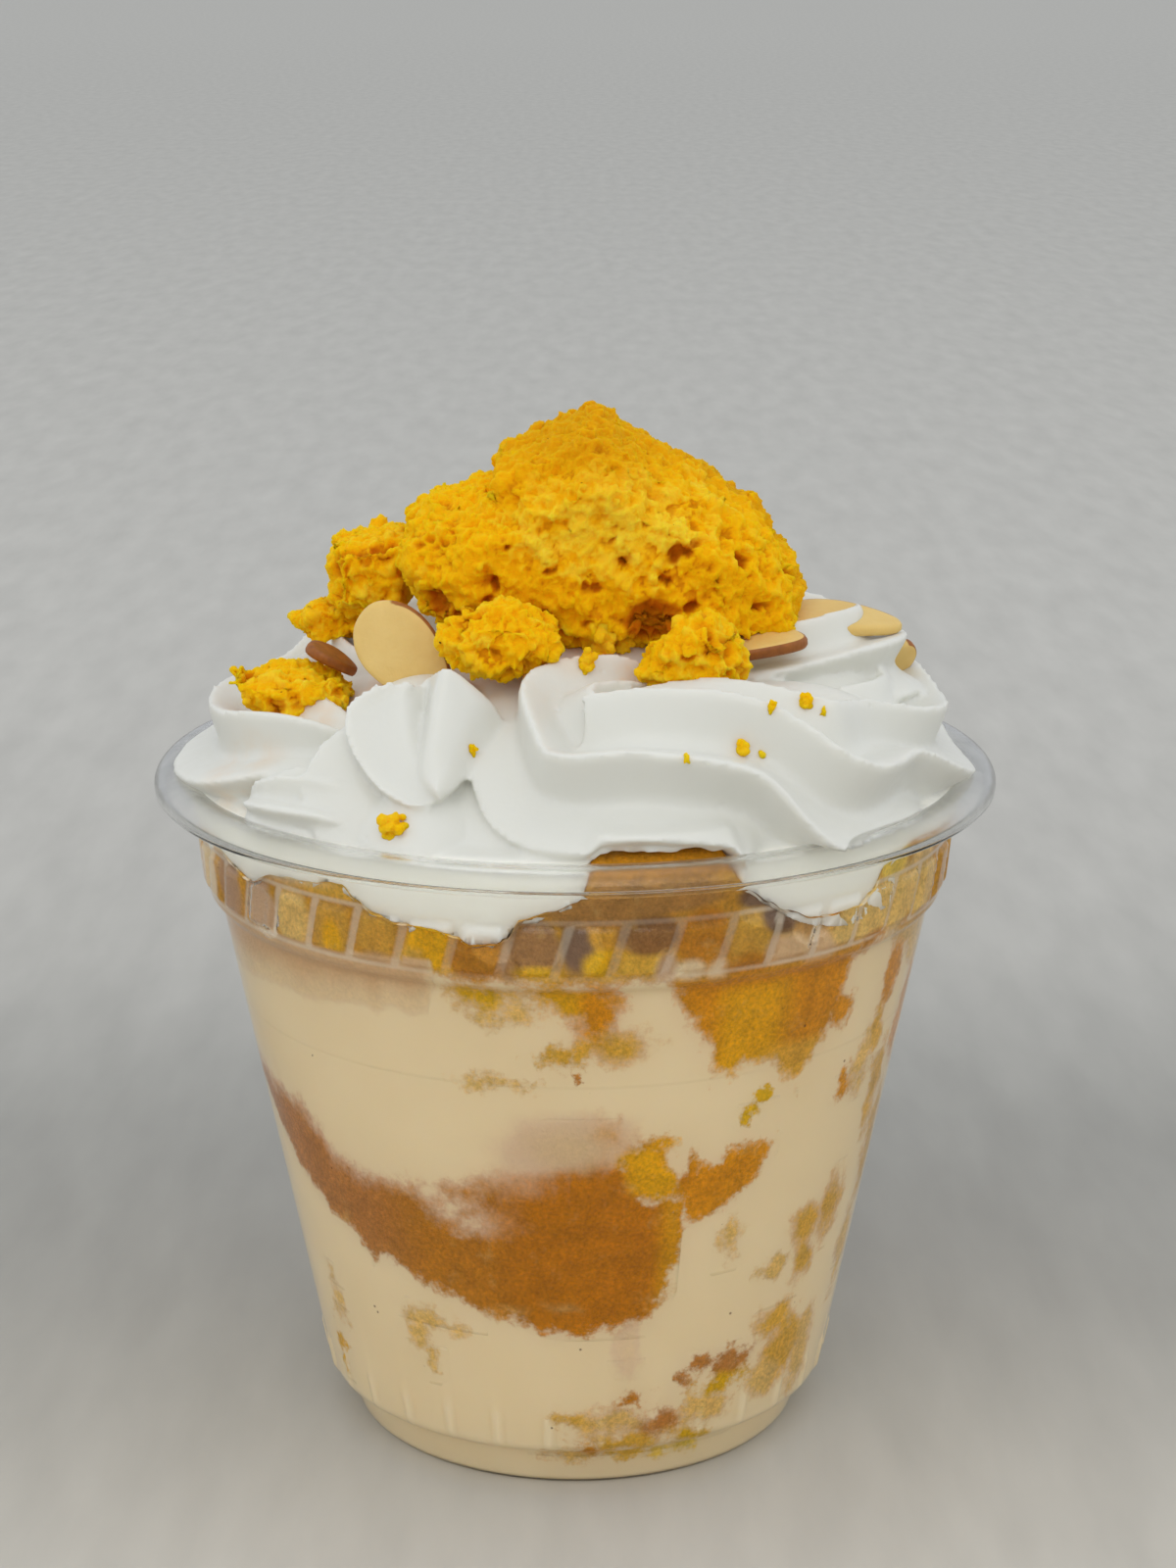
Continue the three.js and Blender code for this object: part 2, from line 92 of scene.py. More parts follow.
camera_data = bpy.data.cameras.new("camera")
camera_data.sensor_width = SENSOR_WIDTH
camera_data.lens = LENS
camera_data.clip_start = 0.01
camera_data.clip_end = 200
camera = bpy.data.objects.new("camera", camera_data)
camera.location = CAMERA_PLACE
camera.rotation_euler = (math.radians(90 - CAMERA_DIP), 0, 0)
bpy.context.scene.collection.objects.link(camera)
bpy.context.scene.camera = camera
bpy.context.scene.view_settings.view_transform = "Standard"
print("camera at", round(Vector(CAMERA_PLACE).length / MM), "mm from the foot of the cup")

# %% [markdown]
# Every finish is a tree of shader nodes. These helpers add a node, feed its sockets and hand back its
# result, so that each look further down reads as a short list of steps.

# %% Helpers for looks
def new_look(name):
    look = bpy.data.materials.new(name)
    look.use_nodes = True
    tree = look.node_tree
    return look, tree, tree.nodes["Principled BSDF"]


def add_node(tree, kind, **settings):
    node = tree.nodes.new(kind)
    for key, value in settings.items():
        setattr(node, key, value)
    return node


def feed(tree, sockets, values):
    """Sets each socket to its number or colour, or links it to another node's result."""
    for socket, value in zip(sockets, values):
        if isinstance(value, (int, float, tuple)):
            socket.default_value = value
        elif value is not None:
            tree.links.new(value, socket)


def math_node(tree, operation, first, second=None, third=None, limit=False):
    node = add_node(tree, "ShaderNodeMath", operation=operation, use_clamp=limit)
    feed(tree, node.inputs, (first, second, third))
    return node.outputs["Value"]


def map_range(tree, value, low, high, out_low=0.0, out_high=1.0, smooth=True):
    """A value brought from one range to another, eased at both ends or in a straight line."""
    kind = "SMOOTHSTEP" if smooth else "LINEAR"
    node = add_node(tree, "ShaderNodeMapRange", interpolation_type=kind)
    feed(tree, node.inputs, (value, low, high, out_low, out_high))
    return node.outputs["Result"]


def colour_mix(tree, share, first, second):
    node = add_node(tree, "ShaderNodeMix", data_type="RGBA", blend_type="MIX")
    # The factor, the two colours and the result share their names with this node's other kinds, so
    # they are taken by number.
    feed(tree, (node.inputs[0], node.inputs[6], node.inputs[7]), (share, first, second))
    return node.outputs[2]


def noise_texture(tree, place, scale, detail=3.0, roughness=0.5):
    texture = add_node(tree, "ShaderNodeTexNoise")
    names = ("Vector", "Scale", "Detail", "Roughness")
    feed(tree, [texture.inputs[name] for name in names], (place, scale, detail, roughness))
    return texture.outputs["Fac"]


def scattered_spots(tree, place, scale):
    """Distance to the nearest of many scattered points, for pits and specks."""
    texture = add_node(tree, "ShaderNodeTexVoronoi")
    feed(tree, (texture.inputs["Vector"], texture.inputs["Scale"]), (place, scale))
    return texture.outputs["Distance"]


# %% [markdown]
# Nearly every finish also needs the place on the piece, values that are kept on its vertices, a bump,
# or light that sinks in. Patterns follow the piece's own place, so they stay put from every side.

# %% Helpers for surfaces
def object_place(tree):
    return add_node(tree, "ShaderNodeTexCoord").outputs["Object"]


def split(tree, place):
    """The x, y and z of a place."""
    node = add_node(tree, "ShaderNodeSeparateXYZ")
    tree.links.new(place, node.inputs[0])
    return node.outputs


def attribute_node(tree, name, output="Fac"):
    """What was stored on the piece's vertices under a name."""
    return add_node(tree, "ShaderNodeAttribute", attribute_name=name).outputs[output]


def roughen(tree, shader, height, strength, distance):
    """Lets a height value tilt the surface's shading."""
    bump = add_node(tree, "ShaderNodeBump")
    names = ("Height", "Strength", "Distance")
    feed(tree, [bump.inputs[name] for name in names], (height, strength, distance))
    tree.links.new(bump.outputs["Normal"], shader.inputs["Normal"])


def soft_inside(shader, weight, radius, scale):
    """Light that sinks in and comes out again nearby, as in milk, cake and nuts."""
    shader.inputs["Subsurface Weight"].default_value = weight
    shader.inputs["Subsurface Radius"].default_value = radius
    shader.inputs["Subsurface Scale"].default_value = scale


def deselect_all():
    if bpy.context.object and bpy.context.object.mode != "OBJECT":
        bpy.ops.object.mode_set(mode="OBJECT")
    bpy.ops.object.select_all(action="DESELECT")


# %% [markdown]
# The floor is large enough to fill the view. Its tone changes with distance as painted light and shade:
# bright in front, a band of painted shade just behind the cup, and pale again further back, as on a
# sheet of paper lit from the front. It also carries a faint mottle.

# %% Floor
FLOOR_SIZE = 60
TONE_STARTS, TONE_ENDS = -0.1, 0.4
# Painted light and shade on the floor, as (share of the distance, tone): the darker tones are painted shade
# behind the cup.
FLOOR_LIGHT_AND_SHADE = [
    (0.12, (206, 202, 192)), (0.24, (163, 161, 155)), (0.38, (162, 161, 156)), (0.52, (192, 190, 184)),
    (0.9, (197, 195, 189)),
]
FAR_STARTS, FAR_ENDS = 0.8, 6

deselect_all()
bpy.ops.mesh.primitive_plane_add(size=FLOOR_SIZE)
floor = bpy.context.object
floor.name = "floor"
floor_look, tree, shader = new_look("pale floor")
shader.inputs["Roughness"].default_value = 0.9
shader.inputs["Specular IOR Level"].default_value = 0.2
floor.data.materials.append(floor_look)

place = object_place(tree)
away = split(tree, place)[1]
light_and_shade_by_distance = add_node(tree, "ShaderNodeValToRGB")
tree.links.new(map_range(tree, away, TONE_STARTS, TONE_ENDS, smooth=False), light_and_shade_by_distance.inputs["Fac"])
ramp = light_and_shade_by_distance.color_ramp
ramp.interpolation = "B_SPLINE"
for element, (share, tone) in zip(ramp.elements, (FLOOR_LIGHT_AND_SHADE[0], FLOOR_LIGHT_AND_SHADE[-1])):
    element.position = share
    element.color = linear(*tone)
for share, tone in FLOOR_LIGHT_AND_SHADE[1:-1]:
    ramp.elements.new(share).color = linear(*tone)
# The mottle is stretched away from the viewer, so that it looks even from the low camera.
stretched = add_node(tree, "ShaderNodeVectorMath", operation="MULTIPLY")
feed(tree, stretched.inputs, (place, (1, 0.25, 1)))
mottle = noise_texture(tree, stretched.outputs[0], 130, 4)
mottle = map_range(tree, mottle, 0.0, 1.0, 0.86, 1.12, smooth=False)
# Painted light: the far floor is a little brighter than the near floor.
far_painted_light = map_range(tree, away, FAR_STARTS, FAR_ENDS, 0.93, 0.98, smooth=False)
mottled = add_node(tree, "ShaderNodeVectorMath", operation="SCALE")
tree.links.new(light_and_shade_by_distance.outputs["Color"], mottled.inputs[0])
tree.links.new(math_node(tree, "MULTIPLY", mottle, far_painted_light), mottled.inputs["Scale"])
tree.links.new(mottled.outputs[0], shader.inputs["Base Color"])
print("floor tones:", len(FLOOR_LIGHT_AND_SHADE))

# %% [markdown]
# One broad light stands high in front, a weaker one hangs overhead, and a pale room fills the
# shadows. The room is brighter to the left and right than in front, so the cup's sides stay pale.

# %% Lights and room
CUP_MIDDLE = (0, 0, 0.06)
ROOM_IN_FRONT = 0.65
ROOM_MORE_AT_SIDES = 0.56


def soft_light(name, place, size, power, colour=(1, 1, 1)):
    data = bpy.data.lights.new(name, "AREA")
    data.shape = "SQUARE"
    data.size = size
    data.energy = power
    data.color = colour
    lamp = bpy.data.objects.new(name, data)
    lamp.location = place
    lamp.rotation_euler = (Vector(CUP_MIDDLE) - Vector(place)).to_track_quat("-Z", "Y").to_euler()
    bpy.context.scene.collection.objects.link(lamp)


soft_light("front light", (-0.1, -1.35, 1.15), 1.5, 9.8, (1, 0.985, 0.96))
soft_light("overhead", (0.1, 0.1, 1.6), 1.0, 2)

world = bpy.data.worlds.new("soft room")
world.use_nodes = True
sky = world.node_tree
background = sky.nodes["Background"]
background.inputs["Color"].default_value = (0.93, 0.96, 1.0, 1)
sideways = split(sky, add_node(sky, "ShaderNodeTexCoord").outputs["Generated"])[0]
sideways = math_node(sky, "MULTIPLY", sideways, sideways)
room_level = math_node(sky, "MULTIPLY_ADD", sideways, ROOM_MORE_AT_SIDES, ROOM_IN_FRONT)
sky.links.new(room_level, background.inputs["Strength"])
bpy.context.scene.world = world

# The filling is lit through the plastic, so light must pass it and bounce behind it at full strength.
light_paths = bpy.context.scene.cycles
light_paths.blur_glossy = 0
light_paths.max_bounces = 16
light_paths.diffuse_bounces = 8
light_paths.transmission_bounces = 12
print("lights:", len(bpy.data.lights))

# %% [markdown]
# The cup is thin clear plastic of even thickness, formed over a mould. So its section is drawn once
# as a single line from the middle of the foot to the end of the rolled rim. That line is given the
# plastic's thickness and is spun round the axis. Forty-six raised pads lean round the collar, and small
# stacking ribs stand above the foot. They are pushed out of the spun wall by a function of direction
# and height, which the filling uses again where it presses against the plastic.

# %% Section of the cup
PLASTIC = 0.5
BODY_LOW = (28.15, 6.2)
BODY_BEND = (28.95, 10.2)
BODY_HIGH = (38.85, 60.4)
BAND_LOW = 63.1
BAND_HIGH = 68.3


def spread(start, end, count):
    """Evenly spaced points on a straight line, the end point left out."""
    return [
        (mix(start[0], end[0], i / count), mix(start[1], end[1], i / count)) for i in range(count)
    ]


def arc(centre, across, high, start, end, count):
    """Points on an ellipse's arc between two angles in degrees."""
    points = []
    for i in range(count + 1):
        angle = math.radians(mix(start, end, i / count))
        points.append((centre[0] + across * math.cos(angle), centre[1] + high * math.sin(angle)))
    return points


foot_line = [(0, 1.15), (10, 1.15), (19, 1.1), (20.6, 0.95), (21.3, 0.55), (21.9, 0.3), (22.5, 0.25)]
foot_line += [(24.0, 0.25), (24.6, 0.38), (24.92, 0.75), (25.1, 1.3), (25.6, 3), (26.0, 4.3)]
foot_line += [(26.25, 4.85), (26.8, 5.15), (27.5, 5.25), (27.9, 5.55)]
body_line = spread(BODY_LOW, BODY_BEND, 8) + spread(BODY_BEND, BODY_HIGH, 5)
step_line = [BODY_HIGH, (39.0, 60.9), (39.35, 61.35), (39.8, 61.7), (40.15, 62.1), (40.28, 62.6)]
band_line = spread((40.35, 62.9), (40.85, 68.6), 19)
collar_line = [(40.88, 68.75), (41.0, 69.1), (41.2, 70.2), (41.4, 71.6), (41.5, 72.8), (41.5, 73.5)]
rim_line = arc((43.6, 73.55), 2.1, 1.7, 172, 0, 16)
rim_line += [(45.66, 73.15), (45.45, 72.88), (45.0, 72.76), (44.5, 72.8)]
wall_line = foot_line + body_line + step_line + band_line + collar_line + rim_line
# The part that only rises, from the ring that the foot rests on to the root of the rim.
RESTING_POINT = 8
rising_line = wall_line[RESTING_POINT:1 - len(rim_line)]
print("the wall's line has", len(wall_line), "points")


def line_radius(height):
    """Radius of the wall's middle line at a height between the foot and the rim."""
    for (low_r, low_z), (high_r, high_z) in zip(rising_line, rising_line[1:]):
        if low_z <= height <= high_z:
            return mix(low_r, high_r, (height - low_z) / max(high_z - low_z, 1e-6))
    return rising_line[0][0] if height < rising_line[0][1] else rising_line[-1][0]


# %% [markdown]
# The collar's pads and the small stacking ribs are not modelled one by one. A function says how far
# the mould pushes the wall outwards at each direction and height, with rounded edges.

# %% Pads and ribs
PAD_COUNT = 46
PAD_START = -2.75
PAD_HALF = 2.32
PAD_RELIEF = 0.38
PAD_LEAN = 17
PAD_ROUNDING = 0.55
COLLAR_RADIUS = 40.6
RIB_COUNT = 32
RIB_HALF = 0.62
RIB_RELIEF = 0.22
RIB_ROUNDING = 0.45
RIB_RADIUS = 28.5


def pad_share(direction, height):
    """1 on a raised pad of the collar and 0 between the pads."""
    lean = math.degrees((height - BAND_LOW) * math.tan(math.radians(PAD_LEAN)) / COLLAR_RADIUS)
    turn = 360 / PAD_COUNT
    across = abs((direction - PAD_START - lean) % turn - turn / 2) * COLLAR_RADIUS * math.pi / 180
    inside = smooth_step(PAD_HALF - across, 0, PAD_ROUNDING)
    low = smooth_step(height - BAND_LOW, 0, PAD_ROUNDING)
    return inside * low * smooth_step(BAND_HIGH - height, 0, PAD_ROUNDING)


def rib_push(direction, height):
    """How far the moulded pads and ribs push the wall outwards, in millimetres."""
    push = PAD_RELIEF * pad_share(direction, height)
    rib_turn = 360 / RIB_COUNT
    rib_across = abs(direction % rib_turn - rib_turn / 2) * RIB_RADIUS * math.pi / 180
    rib_level = smooth_step(height, 5.4, 6.2) * smooth_step(-height, -10.1, -9.2)
    return push + RIB_RELIEF * smooth_step(RIB_HALF - rib_across, 0, RIB_ROUNDING) * rib_level


print("pads:", PAD_COUNT, "ribs:", RIB_COUNT)

# %% [markdown]
# An outline is drawn in edit mode as by hand: one vertex, then one extrusion for each next point.
# Spinning it a full turn leaves a seam, so the doubles are merged and the normals are set outwards.

# %% Helpers for round pieces
MERGE_DISTANCE = 2e-6


def finish_piece(piece, look, slot, *nodes):
    """Gives a finished piece its look and hangs it under the root; the plain CAD parts that it stands for are
    hidden.
    """
    piece.data.materials.clear()
    piece.data.materials.append(look)
    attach(piece, "root")
    if nodes:
        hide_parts(*nodes)


def make_active(piece):
    deselect_all()
    piece.select_set(True)
    bpy.context.view_layer.objects.active = piece


def shade(piece):
    make_active(piece)
    bpy.ops.object.shade_smooth()


def face_outwards():
    """Turns all faces of the piece in edit mode outwards, and ends edit mode."""
    bpy.ops.mesh.select_all(action="SELECT")
    bpy.ops.mesh.normals_make_consistent(inside=False)
    bpy.ops.object.mode_set(mode="OBJECT")


def push_from_axis(place, distance):
    """Moves a vertex's place along the radius; both are in metres."""
    radius = math.hypot(place.x, place.y)
    place.x += place.x / radius * distance
    place.y += place.y / radius * distance


def spun_piece(name, outline, steps):
    """Spins an outline of (radius, height) in millimetres round the Z axis."""
    deselect_all()
    bpy.ops.mesh.primitive_plane_add(size=MM)
    piece = bpy.context.object
    piece.name = name
    bpy.ops.object.mode_set(mode="EDIT")
    bpy.ops.mesh.merge(type="CENTER")
    start = Vector((outline[0][0] * MM, 0, outline[0][1] * MM))
    bpy.ops.transform.translate(value=start)
    for (r0, z0), (r1, z1) in zip(outline, outline[1:]):
        move = ((r1 - r0) * MM, 0, (z1 - z0) * MM)
        bpy.ops.mesh.extrude_region_move(TRANSFORM_OT_translate={"value": move})
    bpy.ops.mesh.select_all(action="SELECT")
    bpy.ops.mesh.spin(steps=steps, angle=math.tau, center=(0, 0, 0), axis=(0, 0, 1))
    bpy.ops.mesh.select_all(action="SELECT")
    bpy.ops.mesh.remove_doubles(threshold=MERGE_DISTANCE)
    face_outwards()
    return piece


# %% [markdown]
# The cup's wall gets its thickness by moving the middle line half of it to either side. The closed
# outline of both lines is spun, and then the pads and ribs are pushed out of the wall, inside and
# outside alike, as thin formed plastic does it.

# %% The cup
def offset_line(line, distance):
    """The line moved sideways by a distance, to the right of its travel."""
    moved = []
    for i, (r, z) in enumerate(line):
        before = line[max(i - 1, 0)]
        after = line[min(i + 1, len(line) - 1)]
        along = Vector((after[0] - before[0], after[1] - before[1])).normalized()
        moved.append((max(r + along.y * distance, 0.0), z - along.x * distance))
    return moved


outer_skin = offset_line(wall_line, PLASTIC / 2)
inner_skin = offset_line(wall_line, -PLASTIC / 2)
outer_skin[0] = (0, outer_skin[0][1])
inner_skin[0] = (0, inner_skin[0][1])
CUP_STEPS = 600
FOOT_RECESS = 20
COLLAR_TOP = 70
cup = spun_piece("clear_cup", outer_skin + inner_skin[::-1], CUP_STEPS)
for vertex in cup.data.vertices:
    x, y, z = vertex.co
    if math.hypot(x, y) > FOOT_RECESS * MM and z < COLLAR_TOP * MM:
        push_from_axis(vertex.co, rib_push(facing(x, y), z / MM) * MM)
shade(cup)
print("cup faces:", len(cup.data.polygons))

# %% [markdown]
# Clear plastic is a plain transmitting surface. Its body is faintly grey and it is nearly smooth, with
# a little waviness from forming, which a very weak bump gives. Towards the rim it turns a little
# frosted, because there the sheet was stretched least and touched most.

# %% Clear plastic
FROST_STARTS, FROST_ENDS = 72.9 * MM, 74.2 * MM

plastic_look, tree, shader = new_look("clear plastic")
shader.inputs["Base Color"].default_value = (0.985, 0.99, 0.985, 1)
shader.inputs["IOR"].default_value = 1.3
shader.inputs["Transmission Weight"].default_value = 1.0
place = object_place(tree)
roughen(tree, shader, noise_texture(tree, place, 160, 2), 0.12, 0.0004)
height = split(tree, place)[2]
frosting = map_range(tree, height, FROST_STARTS, FROST_ENDS, 0.03, 0.2, smooth=False)
tree.links.new(frosting, shader.inputs["Roughness"])
finish_piece(cup, plastic_look, "clear_plastic", "cup")
print("clear plastic is on", cup.name)

# %% [markdown]
# Where the filling presses on the plastic, milk custard and soaked sponge share one surface with
# ragged, blurred borders. So each piece of filling carries four values on its vertices: how far inside
# the sponge a spot lies, how blurred the border is there, the tone of that sponge, and how crumbly it
# looks. The shader turns them into colour and adds the fine crumb. The borders come from curves round
# the cup for the layers of sponge, and from a list of small patches.

# %% Tones of soaked sponge
TONES = {
    "amber": linear(207, 135, 0),
    "umber": linear(202, 137, 28),
    "brown": linear(200, 137, 62),
    "orange": linear(224, 156, 0),
    "gold": linear(238, 184, 0),
    "saffron": linear(228, 184, 0),
    "honey": linear(228, 182, 66),
    "caramel": linear(214, 165, 62),
    "yellow": linear(238, 208, 92),
    "tan": linear(234, 198, 118),
    "taupe": linear(192, 146, 92),
    "toast": linear(190, 140, 70),
    "bark": linear(158, 112, 60),
    "haze": linear(226, 190, 144),
    "mist": linear(230, 204, 162),
    # "dull" and "dark" are painted shade: the dim look of air gaps between sponge and plastic behind the
    # collar.
    "dull": linear(196, 156, 116),
    "dark": linear(124, 92, 66),
    "film": linear(240, 217, 176),
}
# How crumbly each tone looks: thin films of milk and air gaps are smooth, all others are 1.
CRUMBLE = {"film": 0.25, "mist": 0.25, "dull": 0.25, "taupe": 0.45, "dark": 0.3, "haze": 0.25}


def blend_tones(first, second, share):
    return tuple(mix(a, b, share) for a, b in zip(first, second))


print("tones:", len(TONES))

# %% [markdown]
# Each layer of sponge has a lower and an upper border, which wander up and down round the cup. A
# border is a list of (direction, height) stops with a smooth value between them.

# %% Borders between custard and sponge
SAMPLES_PER_DEGREE = 4


def around(stops):
    """A smooth value round the cup through a few (direction, value) stops, from -90 to 270."""
    ring = [(stops[-1][0] - 360, stops[-1][1]), *stops, (stops[0][0] + 360, stops[0][1])]
    samples = []
    for i in range(360 * SAMPLES_PER_DEGREE):
        direction = i / SAMPLES_PER_DEGREE - 90
        for (left, low), (right, high) in zip(ring, ring[1:]):
            if left <= direction <= right and left < right:
                samples.append(mix(low, high, smooth_step(direction, left, right)))
                break

    def value(direction):
        place = (direction + 90) % 360 * SAMPLES_PER_DEGREE
        first = int(place) % len(samples)
        return mix(samples[first], samples[(first + 1) % len(samples)], place - int(place))

    return value


middle_top = around([
    (-88, 45), (-75, 43.2), (-65, 42), (-57.5, 42), (-52, 39.8), (-47, 37), (-42, 35.8), (-37, 36.1),
    (-29.5, 36.6), (-20, 37.6), (-14.5, 38.5), (-7.7, 39.1), (-4.3, 39.8), (-2, 41), (0, 42.8), (2.4, 44.6),
    (5, 45.6), (6.8, 45.2), (8.2, 42.8), (9.5, 43.2), (12.4, 43.6), (15, 43), (16, 41.4), (16.7, 39.3),
    (17.5, 38.6), (19, 39.6), (20.4, 41.2), (21.8, 40), (25.3, 40.2), (27.2, 41.3), (33, 41.8),
    (36.2, 41.4), (38, 39.5), (60, 35), (95, 40), (140, 36), (170, 38), (250, 40),
])
middle_floor = around([
    (-88, 43), (-75, 41), (-68, 36.5), (-61, 33.2), (-55, 31.5), (-51, 29.6), (-46.7, 29), (-43.3, 27.6),
    (-41.5, 26.2), (-38.6, 27.2), (-32.5, 25.4), (-25, 24.1), (-18.6, 22.7), (-10.8, 22), (-5, 20.8),
    (2.6, 20.4), (6.3, 20.6), (10.2, 21.6), (13.9, 22), (15.4, 23.4), (16.8, 25.2), (18.2, 27.6),
    (19.2, 30.2), (19.7, 33.4), (23, 33.7), (26, 34), (28.7, 34.7), (30.8, 35.8), (32.6, 37), (34.8, 38.8),
    (36.6, 40.4), (38, 42), (60, 39), (95, 33), (140, 27), (170, 30), (250, 37),
])
upper_floor = around([
    (-90, 61.2), (-60, 61.6), (-42, 61.8), (-27, 62), (-22, 62.6), (-14, 62.4), (-2, 62.2), (4, 62.2),
    (12, 62.4), (14, 62.2), (15.4, 60.2), (18, 57.2), (20.6, 54.8), (23, 51), (25.4, 50.2), (28, 51.2),
    (31, 51), (33.5, 51.2), (36.5, 48.8), (39, 47.8), (41, 50), (43.6, 52.4), (45.6, 57), (48, 60.6),
    (52, 62), (56, 62), (62, 60), (72, 55), (90, 57), (130, 54), (180, 58), (220, 56), (266, 61.2),
])
film_floor = around([
    (-90, 55), (-64, 55.6), (-52, 56.6), (-48, 56.2), (-40, 56.9), (-34.4, 57.3), (-31.7, 56.7), (-28.6, 58),
    (-25.6, 57.3), (-22.6, 58), (-21.4, 60.2), (-20, 63), (225, 63), (240, 60), (255, 56.4),
])

print("middle sponge in front, from", round(middle_floor(0), 1), "to", round(middle_top(0), 1), "mm")

# %% [markdown]
# Small patches of sponge lie between the layers, and milk runs into them. Each is an oval with a
# wandering outline.

# %% Patches
# Each patch: direction, height, half width and half height in millimetres, tone, blur.
PATCHES = [
    (11.4, 41.4, 3.2, 2.3, "gold", 0.8), (12.6, 39.2, 3.0, 2.8, "gold", 0.8),
    (-2, 23.6, 2.4, 0.8, "tan", 1.1), (-12, 23.2, 2.0, 0.7, "tan", 1.0), (-3, 60.6, 2.6, 1.4, "gold", 1.0),
    (0.8, 59.8, 3.0, 2.0, "gold", 1.2), (3.4, 58.4, 2.5, 3.6, "orange", 1.3),
    (6.6, 54.8, 2.8, 1.8, "honey", 1.5), (-1.2, 53.6, 2.6, 1.2, "honey", 0.6),
    (0.4, 51.6, 0.8, 0.6, "brown", 0.25), (-0.4, 42.9, 5.4, 2.8, "mist", 2.8),
    (-11.5, 50.4, 2.4, 0.6, "tan", 0.7), (-13, 60.2, 3.4, 1.5, "saffron", 1.2),
    (-12.4, 57.4, 1.4, 0.9, "tan", 0.7), (-8.6, 58.6, 2.0, 1.4, "tan", 0.9),
    (32.4, 47, 0.8, 0.9, "saffron", 0.35), (31, 45.6, 0.9, 1.0, "saffron", 0.35),
    (29.6, 44.4, 0.7, 0.8, "saffron", 0.35), (29.5, 30.5, 0.8, 2.6, "tan", 0.8),
    (49.2, 28.8, 2.0, 2.4, "honey", 1.3), (50.4, 24.4, 1.7, 2.6, "honey", 1.3),
    (57, 29.6, 1.9, 3.8, "honey", 1.3), (41.4, 25, 1.9, 1.5, "tan", 0.7),
    (45.5, 18, 2.4, 1.9, "honey", 1.0), (50, 13.4, 3.4, 3.8, "honey", 1.1),
    (45, 10.4, 2.6, 2.6, "tan", 1.0), (57, 12, 2.0, 5.0, "tan", 1.0), (34, 14.5, 2.6, 1.4, "brown", 0.5),
    (27, 14.8, 1.2, 1.0, "brown", 0.5), (32, 12, 2.9, 1.3, "saffron", 0.6),
    (22.6, 13.3, 1.3, 0.9, "brown", 0.6), (29.5, 9.2, 2.8, 1.5, "tan", 0.9),
    (12.5, 11.2, 1.6, 1.0, "amber", 0.5), (17.8, 8.4, 2.4, 1.4, "brown", 0.8), (7, 9, 3.6, 1.7, "tan", 1.2),
    (10, 6.4, 4.2, 1.3, "honey", 0.9), (3.5, 5.6, 1.2, 1.1, "amber", 0.5), (0, 9.2, 1.7, 1.0, "honey", 0.6),
    (22, 3.6, 3.6, 0.9, "yellow", 0.7), (14, 3.6, 2.2, 0.8, "honey", 0.6),
    (26, 6, 1.8, 1.1, "saffron", 0.8), (-2, 4, 2.0, 1.0, "tan", 0.8), (-62, 11, 0.9, 2.6, "gold", 0.4),
    (-33, 18.4, 1.3, 2.3, "tan", 0.8), (-29.5, 20.6, 1.3, 1.2, "tan", 0.8), (-30, 15, 0.8, 1.5, "tan", 0.7),
    (-23.5, 20, 1.5, 1.0, "tan", 0.8), (-58, 18, 1.0, 2.6, "tan", 0.8), (10.6, 18.4, 0.8, 2.4, "film", 1.2),
    (46.6, 54.6, 2.2, 1.8, "orange", 0.7), (52, 45.2, 1.0, 1.8, "orange", 0.7),
    (60, 50, 1.4, 3.2, "honey", 0.9), (66, 42, 1.6, 5.0, "honey", 0.9), (57.5, 47, 1.6, 3.4, "tan", 0.9),
    (62, 56, 1.8, 3.4, "orange", 0.8), (74, 50, 1.8, 6.0, "orange", 0.9), (72, 34, 1.6, 6.0, "honey", 0.9),
    (70, 22, 1.6, 5.0, "tan", 0.9), (110, 18, 6, 3.5, "saffron", 0.7), (150, 12, 5, 4, "amber", 0.5),
    (200, 20, 7, 4, "amber", 0.8), (235, 12, 4, 3, "yellow", 0.6), (128, 46, 5, 3, "orange", 0.8),
    (215, 47, 7, 3, "brown", 0.9), (250, 30, 3, 4, "tan", 0.9), (100, 44, 4, 3, "honey", 0.9),
    (165, 22, 5, 2, "honey", 0.9), (185, 9, 6, 2, "saffron", 0.8), (262, 14, 3, 3, "honey", 0.9),
]
# Custard that runs into the sponge: direction, height, half width, half height.
INTRUSIONS = [
    (-26, 36.4, 1.9, 1.4), (-22.3, 35, 2.4, 1.6), (-18.6, 33.4, 2.0, 1.3),
    (15, 36.8, 1.5, 0.9), (16.8, 38.7, 0.7, 1.6), (6.8, 42.2, 0.6, 0.9),
]
